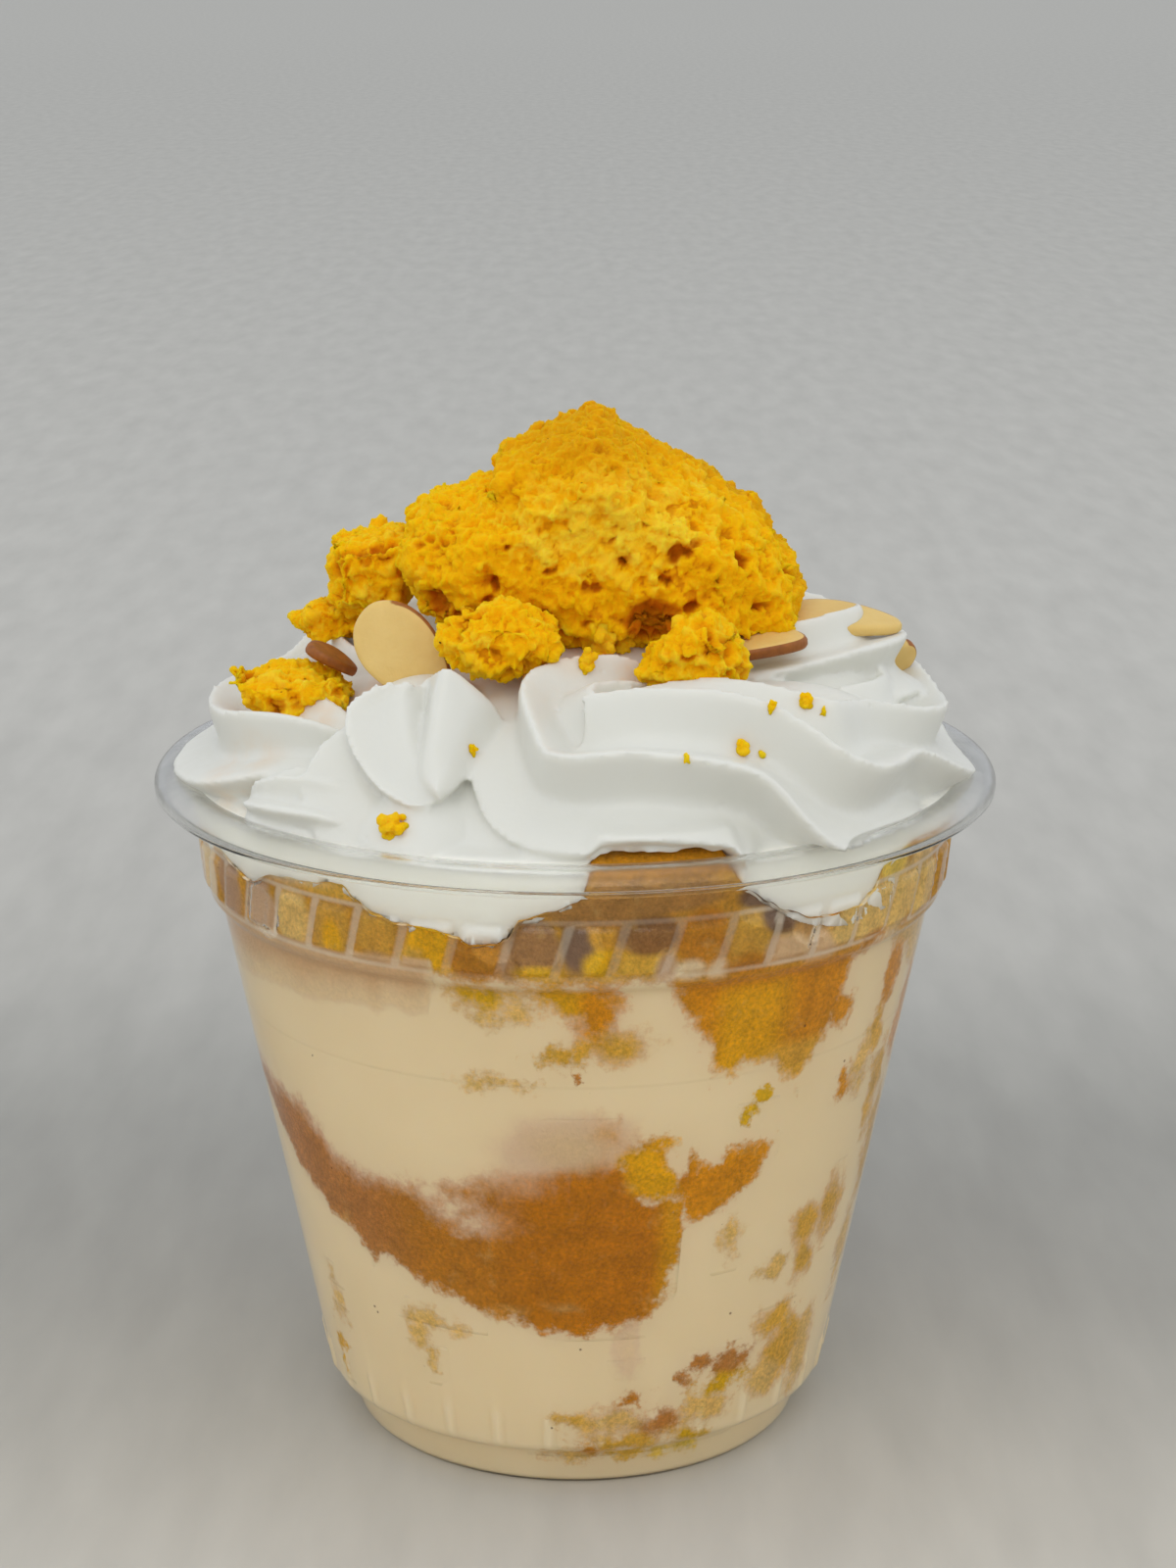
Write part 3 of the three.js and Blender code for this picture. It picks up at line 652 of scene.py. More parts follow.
# Tones of the sponge in the neck, seen through the pads of the collar; the "dull" and "dark" patches are
# painted shade over the air gaps.
NECK_PATCHES = [
    (-82, 66, 3.2, 5.4, "film"), (-72, 66, 3.2, 5.4, "film"), (-62, 66, 3.0, 4.0, "dull"),
    (-52.4, 65.6, 2.5, 3.6, "dull"), (-44.6, 65.8, 2.6, 3.4, "tan"), (-36.7, 65.6, 2.6, 3.4, "caramel"),
    (-36.7, 64.6, 1.2, 2.2, "gold"), (-36, 70, 6.0, 1.2, "honey"), (-60, 70.6, 16, 1.6, "film"),
    (-28.9, 66.4, 2.6, 2.8, "caramel"), (-28.9, 62.8, 2.4, 1.3, "dull"), (-20, 65.4, 2.8, 3.0, "gold"),
    (-23.6, 63.4, 1.9, 1.9, "honey"), (-13.6, 64.4, 3.0, 2.6, "umber"), (-11.8, 66.4, 2.7, 0.9, "umber"),
    (-9.2, 64.6, 0.9, 3.0, "taupe"), (-5.4, 66, 2.5, 3.2, "bark"), (-5, 63.2, 2.5, 0.9, "gold"),
    (0.2, 66.4, 1.5, 3.0, "dark"), (1.4, 65.2, 1.2, 1.6, "dark"), (2.6, 70, 5.0, 1.9, "toast"),
    (5, 64.2, 2.7, 1.8, "gold"), (9, 64.2, 2.6, 1.6, "honey"), (10.5, 67.4, 3.4, 2.2, "bark"),
    (13.2, 63.4, 1.3, 1.8, "dull"), (11, 71.4, 8.0, 2.0, "toast"), (18.6, 66.4, 3.0, 3.4, "umber"),
    (16.6, 63.2, 1.6, 1.3, "film"), (20.8, 62.8, 1.3, 1.4, "film"), (25.4, 66.6, 2.8, 2.8, "caramel"),
    (25.4, 63.0, 2.6, 1.5, "umber"), (27, 70.4, 2.8, 1.5, "dark"), (31.2, 67.8, 2.8, 2.0, "dark"),
    (36, 66.2, 2.4, 2.2, "toast"), (31.6, 64.2, 2.6, 1.6, "haze"), (38, 63.4, 2.6, 1.9, "haze"),
    (42.4, 66, 2.4, 3.0, "tan"), (39.6, 67.2, 0.9, 2.0, "umber"), (47.6, 66, 2.8, 3.6, "tan"),
    (54, 66.5, 3.2, 4.6, "tan"), (53, 70.4, 2.6, 2.2, "yellow"), (62, 67, 4.0, 4.0, "tan"),
    (50, 62.6, 2.2, 1.1, "umber"),
]


print("patches:", len(PATCHES), "in the neck:", len(NECK_PATCHES))

# %% [markdown]
# The patches are sorted by the degrees that they can reach, which keeps the sums short. How far inside
# an oval a spot lies is measured along the wall, and a slow noise shifts it, so no outline is even.

# %% Inside a patch
def patches_by_degree(patches):
    """For each whole degree round the cup, the patches that can reach it."""
    near = [[] for degree in range(360)]
    for patch in patches:
        across = patch[2] * (1 + 3 / min(patch[2], patch[3]))
        reach = math.ceil(math.degrees(across / BODY_LOW[0])) + 1
        for degree in range(int(patch[0]) - reach, int(patch[0]) + reach + 2):
            near[degree % 360].append(patch)
    return near


NEAR_PATCHES = patches_by_degree(PATCHES)


def wander(direction, height):
    """A small wandering shift, in millimetres, that makes the patches' outlines uneven."""
    spot = Vector((direction * 0.22, height * 0.38, 7.0))
    return 1.1 * noise.noise(spot), 0.9 * noise.noise(spot + Vector((0, 0, 20)))


def blob(direction, height, patch):
    """Distance inside an oval patch, in millimetres; negative outside it."""
    turn = (direction - patch[0] + 180) % 360 - 180
    across = turn * math.pi / 180 * line_radius(height)
    reach = math.hypot(across / patch[2], (height - patch[1]) / patch[3])
    return (1 - reach) * min(patch[2], patch[3])


print("most patches near one degree:", max(len(near) for near in NEAR_PATCHES))

# %% [markdown]
# The tone of a layer changes along it: the crescent is brown at the left, amber in front and golden
# at its right end. Each layer has a function that blends such tones.

# %% Tones along the layers
def crescent_tone(direction, height):
    tone = blend_tones(TONES["brown"], TONES["umber"], smooth_step(direction, -42, -26))
    tone = blend_tones(tone, TONES["amber"], smooth_step(direction, -20, -6))
    right = smooth_step(direction, 13.5, 17.5) * smooth_step(-height, -39, -36)
    tone = blend_tones(tone, TONES["gold"], 0.55 * right * (1 - smooth_step(direction, 19, 22)))
    tone = blend_tones(tone, TONES["orange"], smooth_step(direction, 18, 21))
    milky = smooth_step(height, 40, 46) * smooth_step(-direction, -12, -8)
    return blend_tones(tone, TONES["honey"], 0.4 * milky)


def neck_tone(direction, height):
    tone, grain = blend_tones(TONES["umber"], TONES["honey"], 0.4), 1.0
    for patch in NECK_PATCHES:
        share = smooth_step(blob(direction, height, patch), -0.35, 0.45)
        tone = blend_tones(tone, TONES[patch[4]], share)
        grain = mix(grain, CRUMBLE.get(patch[4], 1.0), share)
    return blend_tones(tone, TONES["umber"], smooth_step(height, 72.6, 73.4)), grain


def upper_tone(direction, height):
    middle = smooth_step(direction, 20, 25) * smooth_step(-direction, -38, -31)
    tone = blend_tones(TONES["orange"], TONES["gold"], 0.85 * middle * smooth_step(-height, -61.5, -59))
    low = smooth_step(direction, 29, 34) * smooth_step(-height, -53.5, -51.5)
    tone = blend_tones(tone, TONES["honey"], 0.8 * low)
    right_side = smooth_step(direction, 50, 56) * smooth_step(-direction, -200, -90)
    tone = blend_tones(tone, TONES["tan"], right_side)
    above, grain = neck_tone(direction, height)
    share = smooth_step(height, 61.6, 62.6)
    return blend_tones(tone, above, share), mix(1.0, grain, share)


print("the crescent in front is", [round(channel, 2) for channel in crescent_tone(0, 32)[:3]])

# %% [markdown]
# One function answers for any spot on the wall which sponge lies there. It weighs the crescent, the
# upper sponge, the film of thin milk at the left and the small patches against each other.

# %% What touches the wall
FILM_STARTS, FILM_ENDS = 228, -20
FILM_REACH = 1.6
FAR_OUTSIDE = 4


def gap_below(border, direction, height):
    """Distance from a spot down to a border, in millimetres, square to the border's slope."""
    rise = border(direction + 0.4) - border(direction - 0.4)
    run = 0.8 * math.pi / 180 * line_radius(height)
    return (height - border(direction)) / math.hypot(1, rise / run)


def wall_values(direction, height):
    """At a spot on the wall: distance into the sponge, blur of its border, its tone and its grain."""
    direction = direction if direction >= -90 else direction + 360
    top_gap = -gap_below(middle_top, direction, height)
    floor_gap = gap_below(middle_floor, direction, height)
    crescent = min(top_gap, floor_gap)
    for patch in INTRUSIONS:
        crescent = min(crescent, -blob(direction, height, patch))
    upper = gap_below(upper_floor, direction, height)
    if upper > crescent:
        best, blur = upper, 0.9
        tone, grain = upper_tone(direction, height)
    else:
        upper_side = smooth_step(floor_gap - top_gap, -4, 6)
        blur = 0.6 + 1.1 * (1 - smooth_step(direction, -16, 0)) * upper_side
        blur += 2.3 * upper_side * smooth_step(direction, -18, -10) * smooth_step(-direction, -8, -4)
        best, tone, grain = crescent, crescent_tone(direction, height), 1.0
    film = -FAR_OUTSIDE
    if direction < FILM_ENDS or direction > FILM_STARTS:
        film = min(height - film_floor(direction), FILM_REACH)
    if film > best:
        dull = smooth_step(height - film_floor(direction), 0.6, 4.2)
        best, blur, grain = film, 0.7, CRUMBLE["film"]
        tone = blend_tones(TONES["film"], TONES["haze"], dull)
    aside, rise = wander(direction, height)
    shifted = direction + math.degrees(aside / line_radius(height))
    for patch in NEAR_PATCHES[int(direction) % 360]:
        if abs(patch[1] - height) < patch[3] + 2:
            inside = blob(shifted, height + rise, patch)
            share = max(smooth_step(inside - best, -1.2, 1.2), smooth_step(inside, -0.3, 1.5))
            if share > 0 and inside > -3:
                best = max(inside, best)
                blur = mix(blur, patch[5], share)
                tone = blend_tones(tone, TONES[patch[4]], share)
                grain = mix(grain, CRUMBLE.get(patch[4], 1.0), share)
    return best, blur, tone, grain


print("sponge depth at the middle of the crescent:", round(wall_values(0, 32)[0], 2), "mm")

# %% [markdown]
# A shader can't run such a function. So the values are worked out once for every vertex of a filling
# and are kept there as attributes, which the shader reads and smooths between the vertices.

# %% Values kept on the vertices
def store_values(piece, name, values):
    """Keeps one number on each vertex for the shader; a single number goes to all of them."""
    if isinstance(values, float):
        values = [values] * len(piece.data.vertices)
    layer = piece.data.attributes.new(name, "FLOAT", "POINT")
    layer.data.foreach_set("value", values)


def store_wall_values(piece):
    """Keeps the wall's values on the vertices, for the shader."""
    rows = [wall_values(facing(v.co.x, v.co.y), v.co.z / MM) for v in piece.data.vertices]
    store_values(piece, "sponge_depth", [clamp(row[0], -FAR_OUTSIDE, FAR_OUTSIDE) for row in rows])
    store_values(piece, "border_blur", [row[1] for row in rows])
    tone = piece.data.attributes.new("sponge_tone", "FLOAT_COLOR", "POINT")
    tone.data.foreach_set("color", [channel for row in rows for channel in row[2]])
    store_values(piece, "sponge_grain", [row[3] for row in rows])


print("values are kept from", -FAR_OUTSIDE, "to", FAR_OUTSIDE, "mm")

# %% [markdown]
# Three steps turn the stored values into milk and crumb. The distance is roughened with two noises,
# custard takes on the pinkish tone that thin milk gives over dark sponge, and the sponge's own tone is
# made uneven crumb by crumb.

# %% Milk and crumb at the wall
CUSTARD = linear(243, 227, 193)
CUSTARD_DEEP = linear(236, 217, 178)
THIN_MILK = linear(228, 202, 178)


def ragged_depth(tree, place, depth, grain):
    """The stored distance into the sponge, roughened by a coarse and a fine noise."""
    coarse = noise_texture(tree, place, 360, 4, 0.65)
    fine = noise_texture(tree, place, 1500, 3, 0.7)
    rough = math_node(tree, "MULTIPLY_ADD", coarse, 4.4, -2.2)
    rough = math_node(tree, "MULTIPLY_ADD", fine, 1.7, math_node(tree, "ADD", rough, -0.85))
    rough = math_node(tree, "MULTIPLY", rough, map_range(tree, grain, 0, 1, 0.25, 1.0))
    return math_node(tree, "ADD", depth, rough)


def milk_over_sponge(tree, place, mask, blur):
    """Custard, with the tone of thin milk where the sponge begins to show through."""
    custard_tone = colour_mix(tree, noise_texture(tree, place, 90, 2), CUSTARD, CUSTARD_DEEP)
    thin = map_range(tree, mask, 0.0, 0.45)
    thin = math_node(tree, "MULTIPLY", thin, map_range(tree, blur, 0.3, 1.4, 0.15, 0.9))
    return colour_mix(tree, thin, custard_tone, THIN_MILK)


def soaked_crumb(tree, place, crumb, tone, grain):
    """The tone of soaked sponge, made lighter and darker crumb by crumb."""
    fine_level = map_range(tree, crumb, 0.3, 0.7, 0.74, 1.22, smooth=False)
    broad = noise_texture(tree, place, 430, 3, 0.6)
    broad_level = map_range(tree, broad, 0.3, 0.7, 0.84, 1.12, smooth=False)
    level = math_node(tree, "SUBTRACT", math_node(tree, "MULTIPLY", fine_level, broad_level), 1)
    level = math_node(tree, "MULTIPLY_ADD", level, grain, 1)
    crumbly = add_node(tree, "ShaderNodeVectorMath", operation="SCALE")
    tree.links.new(tone, crumbly.inputs[0])
    tree.links.new(level, crumbly.inputs["Scale"])
    blotch = map_range(tree, noise_texture(tree, place, 300, 4, 0.7), 0.56, 0.76, 0.0, 0.34)
    return colour_mix(tree, math_node(tree, "MULTIPLY", blotch, grain), crumbly.outputs[0], TONES["tan"])


print("thin milk:", [round(channel, 2) for channel in THIN_MILK[:3]])

# %% [markdown]
# Milk stands in the grooves between the collar's pads, and towards the sides the pale lines are also
# painted glints on the pads' edges. The shader finds the grooves as the mould does, from the angle
# round the cup and the lean and the count of the pads.

# %% Milk in the grooves
def collar_grooves(tree, place):
    """How much pale milk and painted glint shows in the grooves between the pads, from 0 to 1."""
    x, y, z = split(tree, place)
    angle = math_node(tree, "ARCTAN2", x, math_node(tree, "MULTIPLY", y, -1))
    lean = math.tan(math.radians(PAD_LEAN)) / (COLLAR_RADIUS * MM)
    angle = math_node(tree, "ADD", angle, math_node(tree, "MULTIPLY_ADD", z, -lean, BAND_LOW * MM * lean))
    turns = math_node(tree, "MULTIPLY_ADD", angle, PAD_COUNT / math.tau, -PAD_START * PAD_COUNT / 360)
    share = math_node(tree, "ABSOLUTE", math_node(tree, "SUBTRACT", math_node(tree, "FRACT", turns), 0.5))
    edge = PAD_HALF * PAD_COUNT / (math.tau * COLLAR_RADIUS)
    between = map_range(tree, share, edge - 0.05, edge + 0.03)
    height = math_node(tree, "MULTIPLY", z, 1 / MM)
    above = map_range(tree, height, BAND_HIGH - 0.1, BAND_HIGH + 0.4)
    below = map_range(tree, height, BAND_LOW + 0.1, BAND_LOW - 0.4)
    line = math_node(tree, "MAXIMUM", between, math_node(tree, "MAXIMUM", above, below))
    over_foot, under_top = map_range(tree, height, 62.3, 62.7), map_range(tree, height, 69.2, 68.8)
    inside_band = math_node(tree, "MULTIPLY", over_foot, under_top)
    # Painted highlight: the lines grow stronger towards the sides, where they also stand for glints on the
    # pads' edges.
    strength = map_range(tree, math_node(tree, "ABSOLUTE", angle), 0.25, 0.65, 0.3, 0.72)
    return math_node(tree, "MULTIPLY", math_node(tree, "MULTIPLY", line, inside_band), strength)


print("one groove every", round(360 / PAD_COUNT, 2), "degrees")

# %% [markdown]
# Custard and sponge use one shader group, so that a border runs on unbroken from piece to piece. It
# turns the roughened distance into a soft mask between milk and crumb, and adds specks of spice and
# the milk and painted glints in the grooves.

# %% Shader group for the wall of the filling
SPECK = linear(96, 58, 24)
GROOVE_MILK_AND_GLINT = linear(240, 226, 204)
WALL_INPUTS = (
    ("Place", "NodeSocketVector", (0, 0, 0)), ("Depth", "NodeSocketFloat", 0.0),
    ("Blur", "NodeSocketFloat", 0.5), ("Tone", "NodeSocketColor", TONES["amber"]),
    ("Grain", "NodeSocketFloat", 1.0),
)
WALL_OUTPUTS = (("Colour", "NodeSocketColor"), ("Height", "NodeSocketFloat"))


def wall_group():
    tree = bpy.data.node_groups.new("filling at the wall", "ShaderNodeTree")
    for name, kind, value in WALL_INPUTS:
        socket = tree.interface.new_socket(name=name, in_out="INPUT", socket_type=kind)
        socket.default_value = value
    for name, kind in WALL_OUTPUTS:
        tree.interface.new_socket(name=name, in_out="OUTPUT", socket_type=kind)
    place, depth, blur, tone, grain = add_node(tree, "NodeGroupInput").outputs[:len(WALL_INPUTS)]
    depth = ragged_depth(tree, place, depth, grain)
    mask = map_range(tree, depth, math_node(tree, "MULTIPLY", blur, -1), blur)
    crumb = noise_texture(tree, place, 2300, 3, 0.7)
    milk = milk_over_sponge(tree, place, mask, blur)
    colour = colour_mix(tree, mask, milk, soaked_crumb(tree, place, crumb, tone, grain))
    speck = map_range(tree, scattered_spots(tree, place, 420), 0.09, 0.05)
    speck_rare = map_range(tree, noise_texture(tree, place, 700, 1), 0.62, 0.66)
    speck_share = math_node(tree, "MULTIPLY", math_node(tree, "MULTIPLY", speck, speck_rare), 0.75)
    colour = colour_mix(tree, speck_share, colour, SPECK)
    groove_milk_and_glint = math_node(tree, "MULTIPLY", collar_grooves(tree, place), map_range(tree, depth, 0.2, 1.2))
    colour = colour_mix(tree, groove_milk_and_glint, colour, GROOVE_MILK_AND_GLINT)
    output = add_node(tree, "NodeGroupOutput")
    feed(tree, output.inputs, (colour, math_node(tree, "MULTIPLY", crumb, mask)))
    return tree


filling_wall = wall_group()
print("nodes in the group:", len(filling_wall.nodes))

# %% [markdown]
# The group is placed in two looks. Custard is smoother and wetter than soaked sponge, so only the
# height of the bump and the roughness differ.

# %% Custard and soaked sponge
def filling_look(name, bump_distance, wetness):
    """Custard or soaked sponge, seen through the plastic or on top of the cup."""
    look, tree, shader = new_look(name)
    group = add_node(tree, "ShaderNodeGroup")
    group.node_tree = filling_wall
    sources = (
        object_place(tree), attribute_node(tree, "sponge_depth"), attribute_node(tree, "border_blur"),
        attribute_node(tree, "sponge_tone", "Color"), attribute_node(tree, "sponge_grain"),
    )
    feed(tree, group.inputs, sources)
    tree.links.new(group.outputs["Colour"], shader.inputs["Base Color"])
    roughen(tree, shader, group.outputs["Height"], 0.6, bump_distance)
    shader.inputs["Roughness"].default_value = wetness
    shader.inputs["Specular IOR Level"].default_value = 0.12
    soft_inside(shader, 0.1, (1.0, 0.6, 0.3), 0.0008)
    return look


custard_look = filling_look("milk custard", 0.0002, 0.4)
sponge_look = filling_look("soaked sponge", 0.0006, 0.45)
print("looks:", custard_look.name, "and", sponge_look.name)

# %% [markdown]
# The custard fills the cup. It is spun like the cup, on the line of the inner wall, and reaches a
# little way into the plastic so that no air shows between them.

# %% Custard
INTO_WALL = 0.12
CUSTARD_TOP = 60.6
FILL_STEPS = 440
FILL_STEP = 0.5


def fill_radius(height):
    return line_radius(height) - PLASTIC / 2 + INTO_WALL


def wall_outline(low, high, step):
    count = int((high - low) / step)
    heights = [mix(low, high, i / count) for i in range(count + 1)]
    return [(fill_radius(height), height) for height in heights]


def push_out(piece, push_at):
    """Moves the outermost vertices of a filling along the radius, by millimetres."""
    for v in piece.data.vertices:
        radius = math.hypot(v.co.x, v.co.y)
        height = v.co.z / MM
        if radius > FOOT_RECESS * MM and radius / MM > line_radius(height) - 1:
            push_from_axis(v.co, push_at(facing(v.co.x, v.co.y), height) * MM)


pressed_line = offset_line(wall_line[:len(foot_line)], INTO_WALL - PLASTIC / 2)
custard_outline = [(0, pressed_line[0][1])] + pressed_line[1:]
custard_outline += wall_outline(pressed_line[-1][1] + FILL_STEP, CUSTARD_TOP, FILL_STEP)
custard_outline += [(36, CUSTARD_TOP), (20, 59), (0, 59)]
custard = spun_piece("milk_custard_body", custard_outline, FILL_STEPS)
push_out(custard, rib_push)
store_wall_values(custard)
shade(custard)
finish_piece(custard, custard_look, "milk_custard", "milk_custard")
print("custard faces:", len(custard.data.polygons))

# %% [markdown]
# The two sunken slabs of sponge lie in the custard. Each is spun as a full disc and then drawn in
# from the wall wherever custard runs in front of it.

# %% Sunken sponge slabs
PROUD = 0.03
DRAWN_IN = 3.0
GENTLE_DIP = 0.12


def sunken_sponge(name, low, high, node):
    outline = [(0, low), (24, low)] + wall_outline(low, high, FILL_STEP) + [(24, high), (0, high)]
    slab = spun_piece(name, outline, FILL_STEPS)

    def push(direction, height):
        depth = wall_values(direction, height)[0]
        edge = smooth_step(height, low, low + 1) * smooth_step(-height, -high, 1 - high)
        shown = smooth_step(depth, -3.2, -2) * edge
        dip = GENTLE_DIP * (1 - smooth_step(depth, -2.2, -0.6))
        return rib_push(direction, height) + PROUD - dip - DRAWN_IN * (1 - shown)

    push_out(slab, push)
    store_wall_values(slab)
    shade(slab)
    finish_piece(slab, sponge_look, "soaked_sponge", node)
    print(name, "faces:", len(slab.data.polygons))


sunken_sponge("middle_sponge", 18.5, 47.5, "sponge_middle")
sunken_sponge("base_sponge", 2.6, 18.0, "sponge_base")

# %% [markdown]
# The upper sponge fills the neck behind the collar. It is rough and stands back from the plastic in
# places, which leaves dull air gaps behind the pads; the neck's tones add painted shade over them. Its
# top follows a border of its own.

# %% Upper sponge
upper_top = around([
    (-100, 70), (-70, 70.6), (-54, 68), (-48, 69.6), (-43, 70), (-34, 70.7), (-32, 69.4), (-29, 68.2),
    (-25, 67.6), (-20, 67.4), (-15.9, 66.8), (-14.5, 66.1), (-10.8, 66.4), (-9.2, 67), (-7.4, 69),
    (-3.3, 69.9), (0.6, 71), (3, 75.2), (21, 75.2), (24.5, 71.2), (28, 69.6), (31, 68.2), (35.7, 67),
    (40, 66.8), (45, 67), (48, 68), (50, 70.4), (58, 72), (70, 71.5), (80, 70.5), (120, 71), (180, 70.5),
    (260, 70),
])
# Each air gap: direction, height, half width and half height in millimetres.
AIR_GAPS = [(-52, 65, 3, 3), (-11, 66, 2.6, 2), (-5, 66, 2.4, 3), (1, 66, 2.4, 3), (13, 64, 1.4, 2.4),
            (29, 69, 4, 2.4), (36, 66.5, 3, 2.6)]
AIR_GAP_DEPTH = 0.35
UNEVEN = 0.2
UPPER_LOW, UPPER_HIGH = 47, 72.4
NECK_STEPS = 720


def upper_push(direction, height):
    gap = 0.0
    for patch in AIR_GAPS:
        gap = max(gap, AIR_GAP_DEPTH * smooth_step(blob(direction, height, patch), -0.6, 1.2))
    spot = Vector((direction * 0.35, height * 0.5, 4.0))
    gap += UNEVEN * smooth_step(height, 61, 63) * max(noise.noise(spot), 0)
    return rib_push(direction, height) + PROUD - gap - 4 * smooth_step(-height, -50, -47.5)


upper_outline = [(0, UPPER_LOW), (28, UPPER_LOW)] + wall_outline(UPPER_LOW, UPPER_HIGH, 0.42)
upper_outline += [(40.4, 74.4), (39.8, 75.1), (38, 75.3), (30, 74.6), (0, 74.4)]
upper_sponge = spun_piece("upper_sponge", upper_outline, NECK_STEPS)
push_out(upper_sponge, upper_push)
for v in upper_sponge.data.vertices:
    limit = upper_top(facing(v.co.x, v.co.y))
    if v.co.z / MM > limit:
        v.co.z = limit * MM + UNEVEN * MM * noise.noise(v.co * 700)
store_wall_values(upper_sponge)
shade(upper_sponge)
finish_piece(upper_sponge, sponge_look, "soaked_sponge", "sponge_upper")
print("upper sponge faces:", len(upper_sponge.data.polygons))

# %% [markdown]
# Whipped cream is piped with a star nozzle, so a rope of it has eight crests. Each rope is a loft: a
# star-shaped ring is set at every step along a smooth curve. The curves and the roll of the rings
# bring the crests where they lie on this cup. A hairpin turn gives the folds that face the viewer.

# %% Paths of the cream ropes
# Each stop: x, y, z and radius in millimetres, and roll in degrees from outward towards up.
FRONT_ROPE = [
    (10, -13, 83, 7, 100), (3, -17, 82.8, 7.8, 86), (-1.5, -22.5, 80.9, 10, 72), (1, -28, 76.5, 12.6, 45),
    (7.5, -29.5, 77.5, 12.8, 40), (15, -27.5, 78, 12.5, 22), (23, -24.5, 75.5, 12.5, -10),
    (28, -18, 75.5, 11, -12), (32.5, -8, 75.5, 10.5, -42), (32, 4, 77, 9.5, -48), (28, 17, 79, 10, -20),
    (18, 27, 79, 10.5, 0), (9, 32, 78, 8, 10),
]
SIDE_ROPE = [
    (-20, -19, 78.5, 6, 25), (-26, -17, 77.5, 9, 32), (-31.2, -11, 75.4, 11.1, 40), (-32, 0, 75, 10.8, 38),
    (-28, 13, 75, 10, 30), (-20, 25, 79.5, 10.5, 20), (-6, 31, 80, 10, 20), (8, 31, 80, 9, 20),
]
LOW_ROPE = [
    (-20, -30, 74.5, 5.5, 20), (-25, -28.5, 75.4, 5.6, 20), (-30, -26, 76, 5, 25), (-33, -23.5, 76, 3.6, 25),
]
INNER_ROPE = [
    (-14, -8, 80, 6, 0), (-21, -3, 80, 7.5, 10), (-24, 7, 81, 8, 20), (-18, 17, 81, 8, 30),
    (-6, 22, 80, 8, 40), (8, 21, 80, 8, 40), (20, 15, 81, 8.3, 40), (28, 8, 82.6, 8, 16),
    (29.6, 0, 84, 8.3, 7), (24, -4.5, 84.4, 7.8, 14), (17, -7, 84.4, 7.2, 22), (10, -8, 84.2, 6.8, 22),
]


def curve_point(p0, p1, p2, p3, u):
    """A spot on the smooth curve from p1 to p2, at the share u; for numbers and for vectors."""
    bend = 2 * p0 - 5 * p1 + 4 * p2 - p3
    twist = 3 * p1 - p0 - 3 * p2 + p3
    return 0.5 * (2 * p1 + (p2 - p0) * u + bend * u**2 + twist * u**3)


def smooth_path(stops, spacing):
    """Rows along a Catmull-Rom curve through the stops, about one spacing apart."""
    first = [2 * a - b for a, b in zip(stops[0], stops[1])]
    last = [2 * a - b for a, b in zip(stops[-1], stops[-2])]
    ring = [first, *stops, last]
    rows = []
    for p0, p1, p2, p3 in zip(ring, ring[1:], ring[2:], ring[3:]):
        gap = (Vector(p2[:3]) - Vector(p1[:3])).length
        count = max(int(gap / spacing), 2)
        for i in range(count):
            rows.append([curve_point(*numbers, i / count) for numbers in zip(p0, p1, p2, p3)])
    rows.append(list(stops[-1]))
    return rows


print("front rope:", len(smooth_path(FRONT_ROPE, 1)), "mm long, or nearly so")

# %% [markdown]
# The nozzle's teeth leave grooves, so the ring is a star with narrow crests and wide round valleys. A
# sine wave without its sign gives just that shape, and a small number keeps the crests from being sharp.

# %% The nozzle's star
CRESTS = 8
GROOVE_DEPTH = 0.36
CREST_ROUNDING = 0.08


def star_reach(angle):
    """Radius of the star at an angle from a crest, as a share of the full radius."""
    wave = math.sin(angle * CRESTS / 2)
    valley = math.sqrt(wave**2 + CREST_ROUNDING**2) - CREST_ROUNDING
    return 1 - GROOVE_DEPTH * valley / (math.sqrt(1 + CREST_ROUNDING**2) - CREST_ROUNDING)


print("a groove reaches in to", round(star_reach(math.pi / CRESTS), 2), "of the radius")

# %% [markdown]
# A loft joins each ring to the next with four-sided faces and closes both ends. Ropes, petals and
# almond slices are all such lofts.

# %% Lofts
def mesh_piece(name, vertices, faces):
    mesh = bpy.data.meshes.new(name)
    mesh.from_pydata(vertices, [], faces)
    mesh.update()
    piece = bpy.data.objects.new(name, mesh)
    bpy.context.scene.collection.objects.link(piece)
    return piece


def loft(name, rings):
    """A closed surface over rings of equal count; its ends are closed with a point each."""
    count = len(rings[0])
    vertices = [point for ring in rings for point in ring]
    faces = []
    for row in range(len(rings) - 1):
        for i in range(count):
            a, b = row * count + i, row * count + (i + 1) % count
            faces.append((a, b, b + count, a + count))
    for row, order in ((0, -1), (len(rings) - 1, 1)):
        middle = sum((Vector(p) for p in rings[row]), Vector()) / count
        vertices.append(middle)
        for i in range(count):
            a, b = row * count + i, row * count + (i + 1) % count
            faces.append((a, b, len(vertices) - 1)[::order])
    return mesh_piece(name, vertices, faces)


# %% [markdown]
# Piped cream isn't quite even, so each crest sways a little along the rope and its very edge is ragged.
# A rope is drawn together at both ends, as cream is where the nozzle starts and stops.

# %% Star-shaped ropes
ROPES = {"front_rope": FRONT_ROPE, "side_rope": SIDE_ROPE, "low_rope": LOW_ROPE, "inner_rope": INNER_ROPE}
RING_POINTS = 112
ROPE_STEP = 0.8


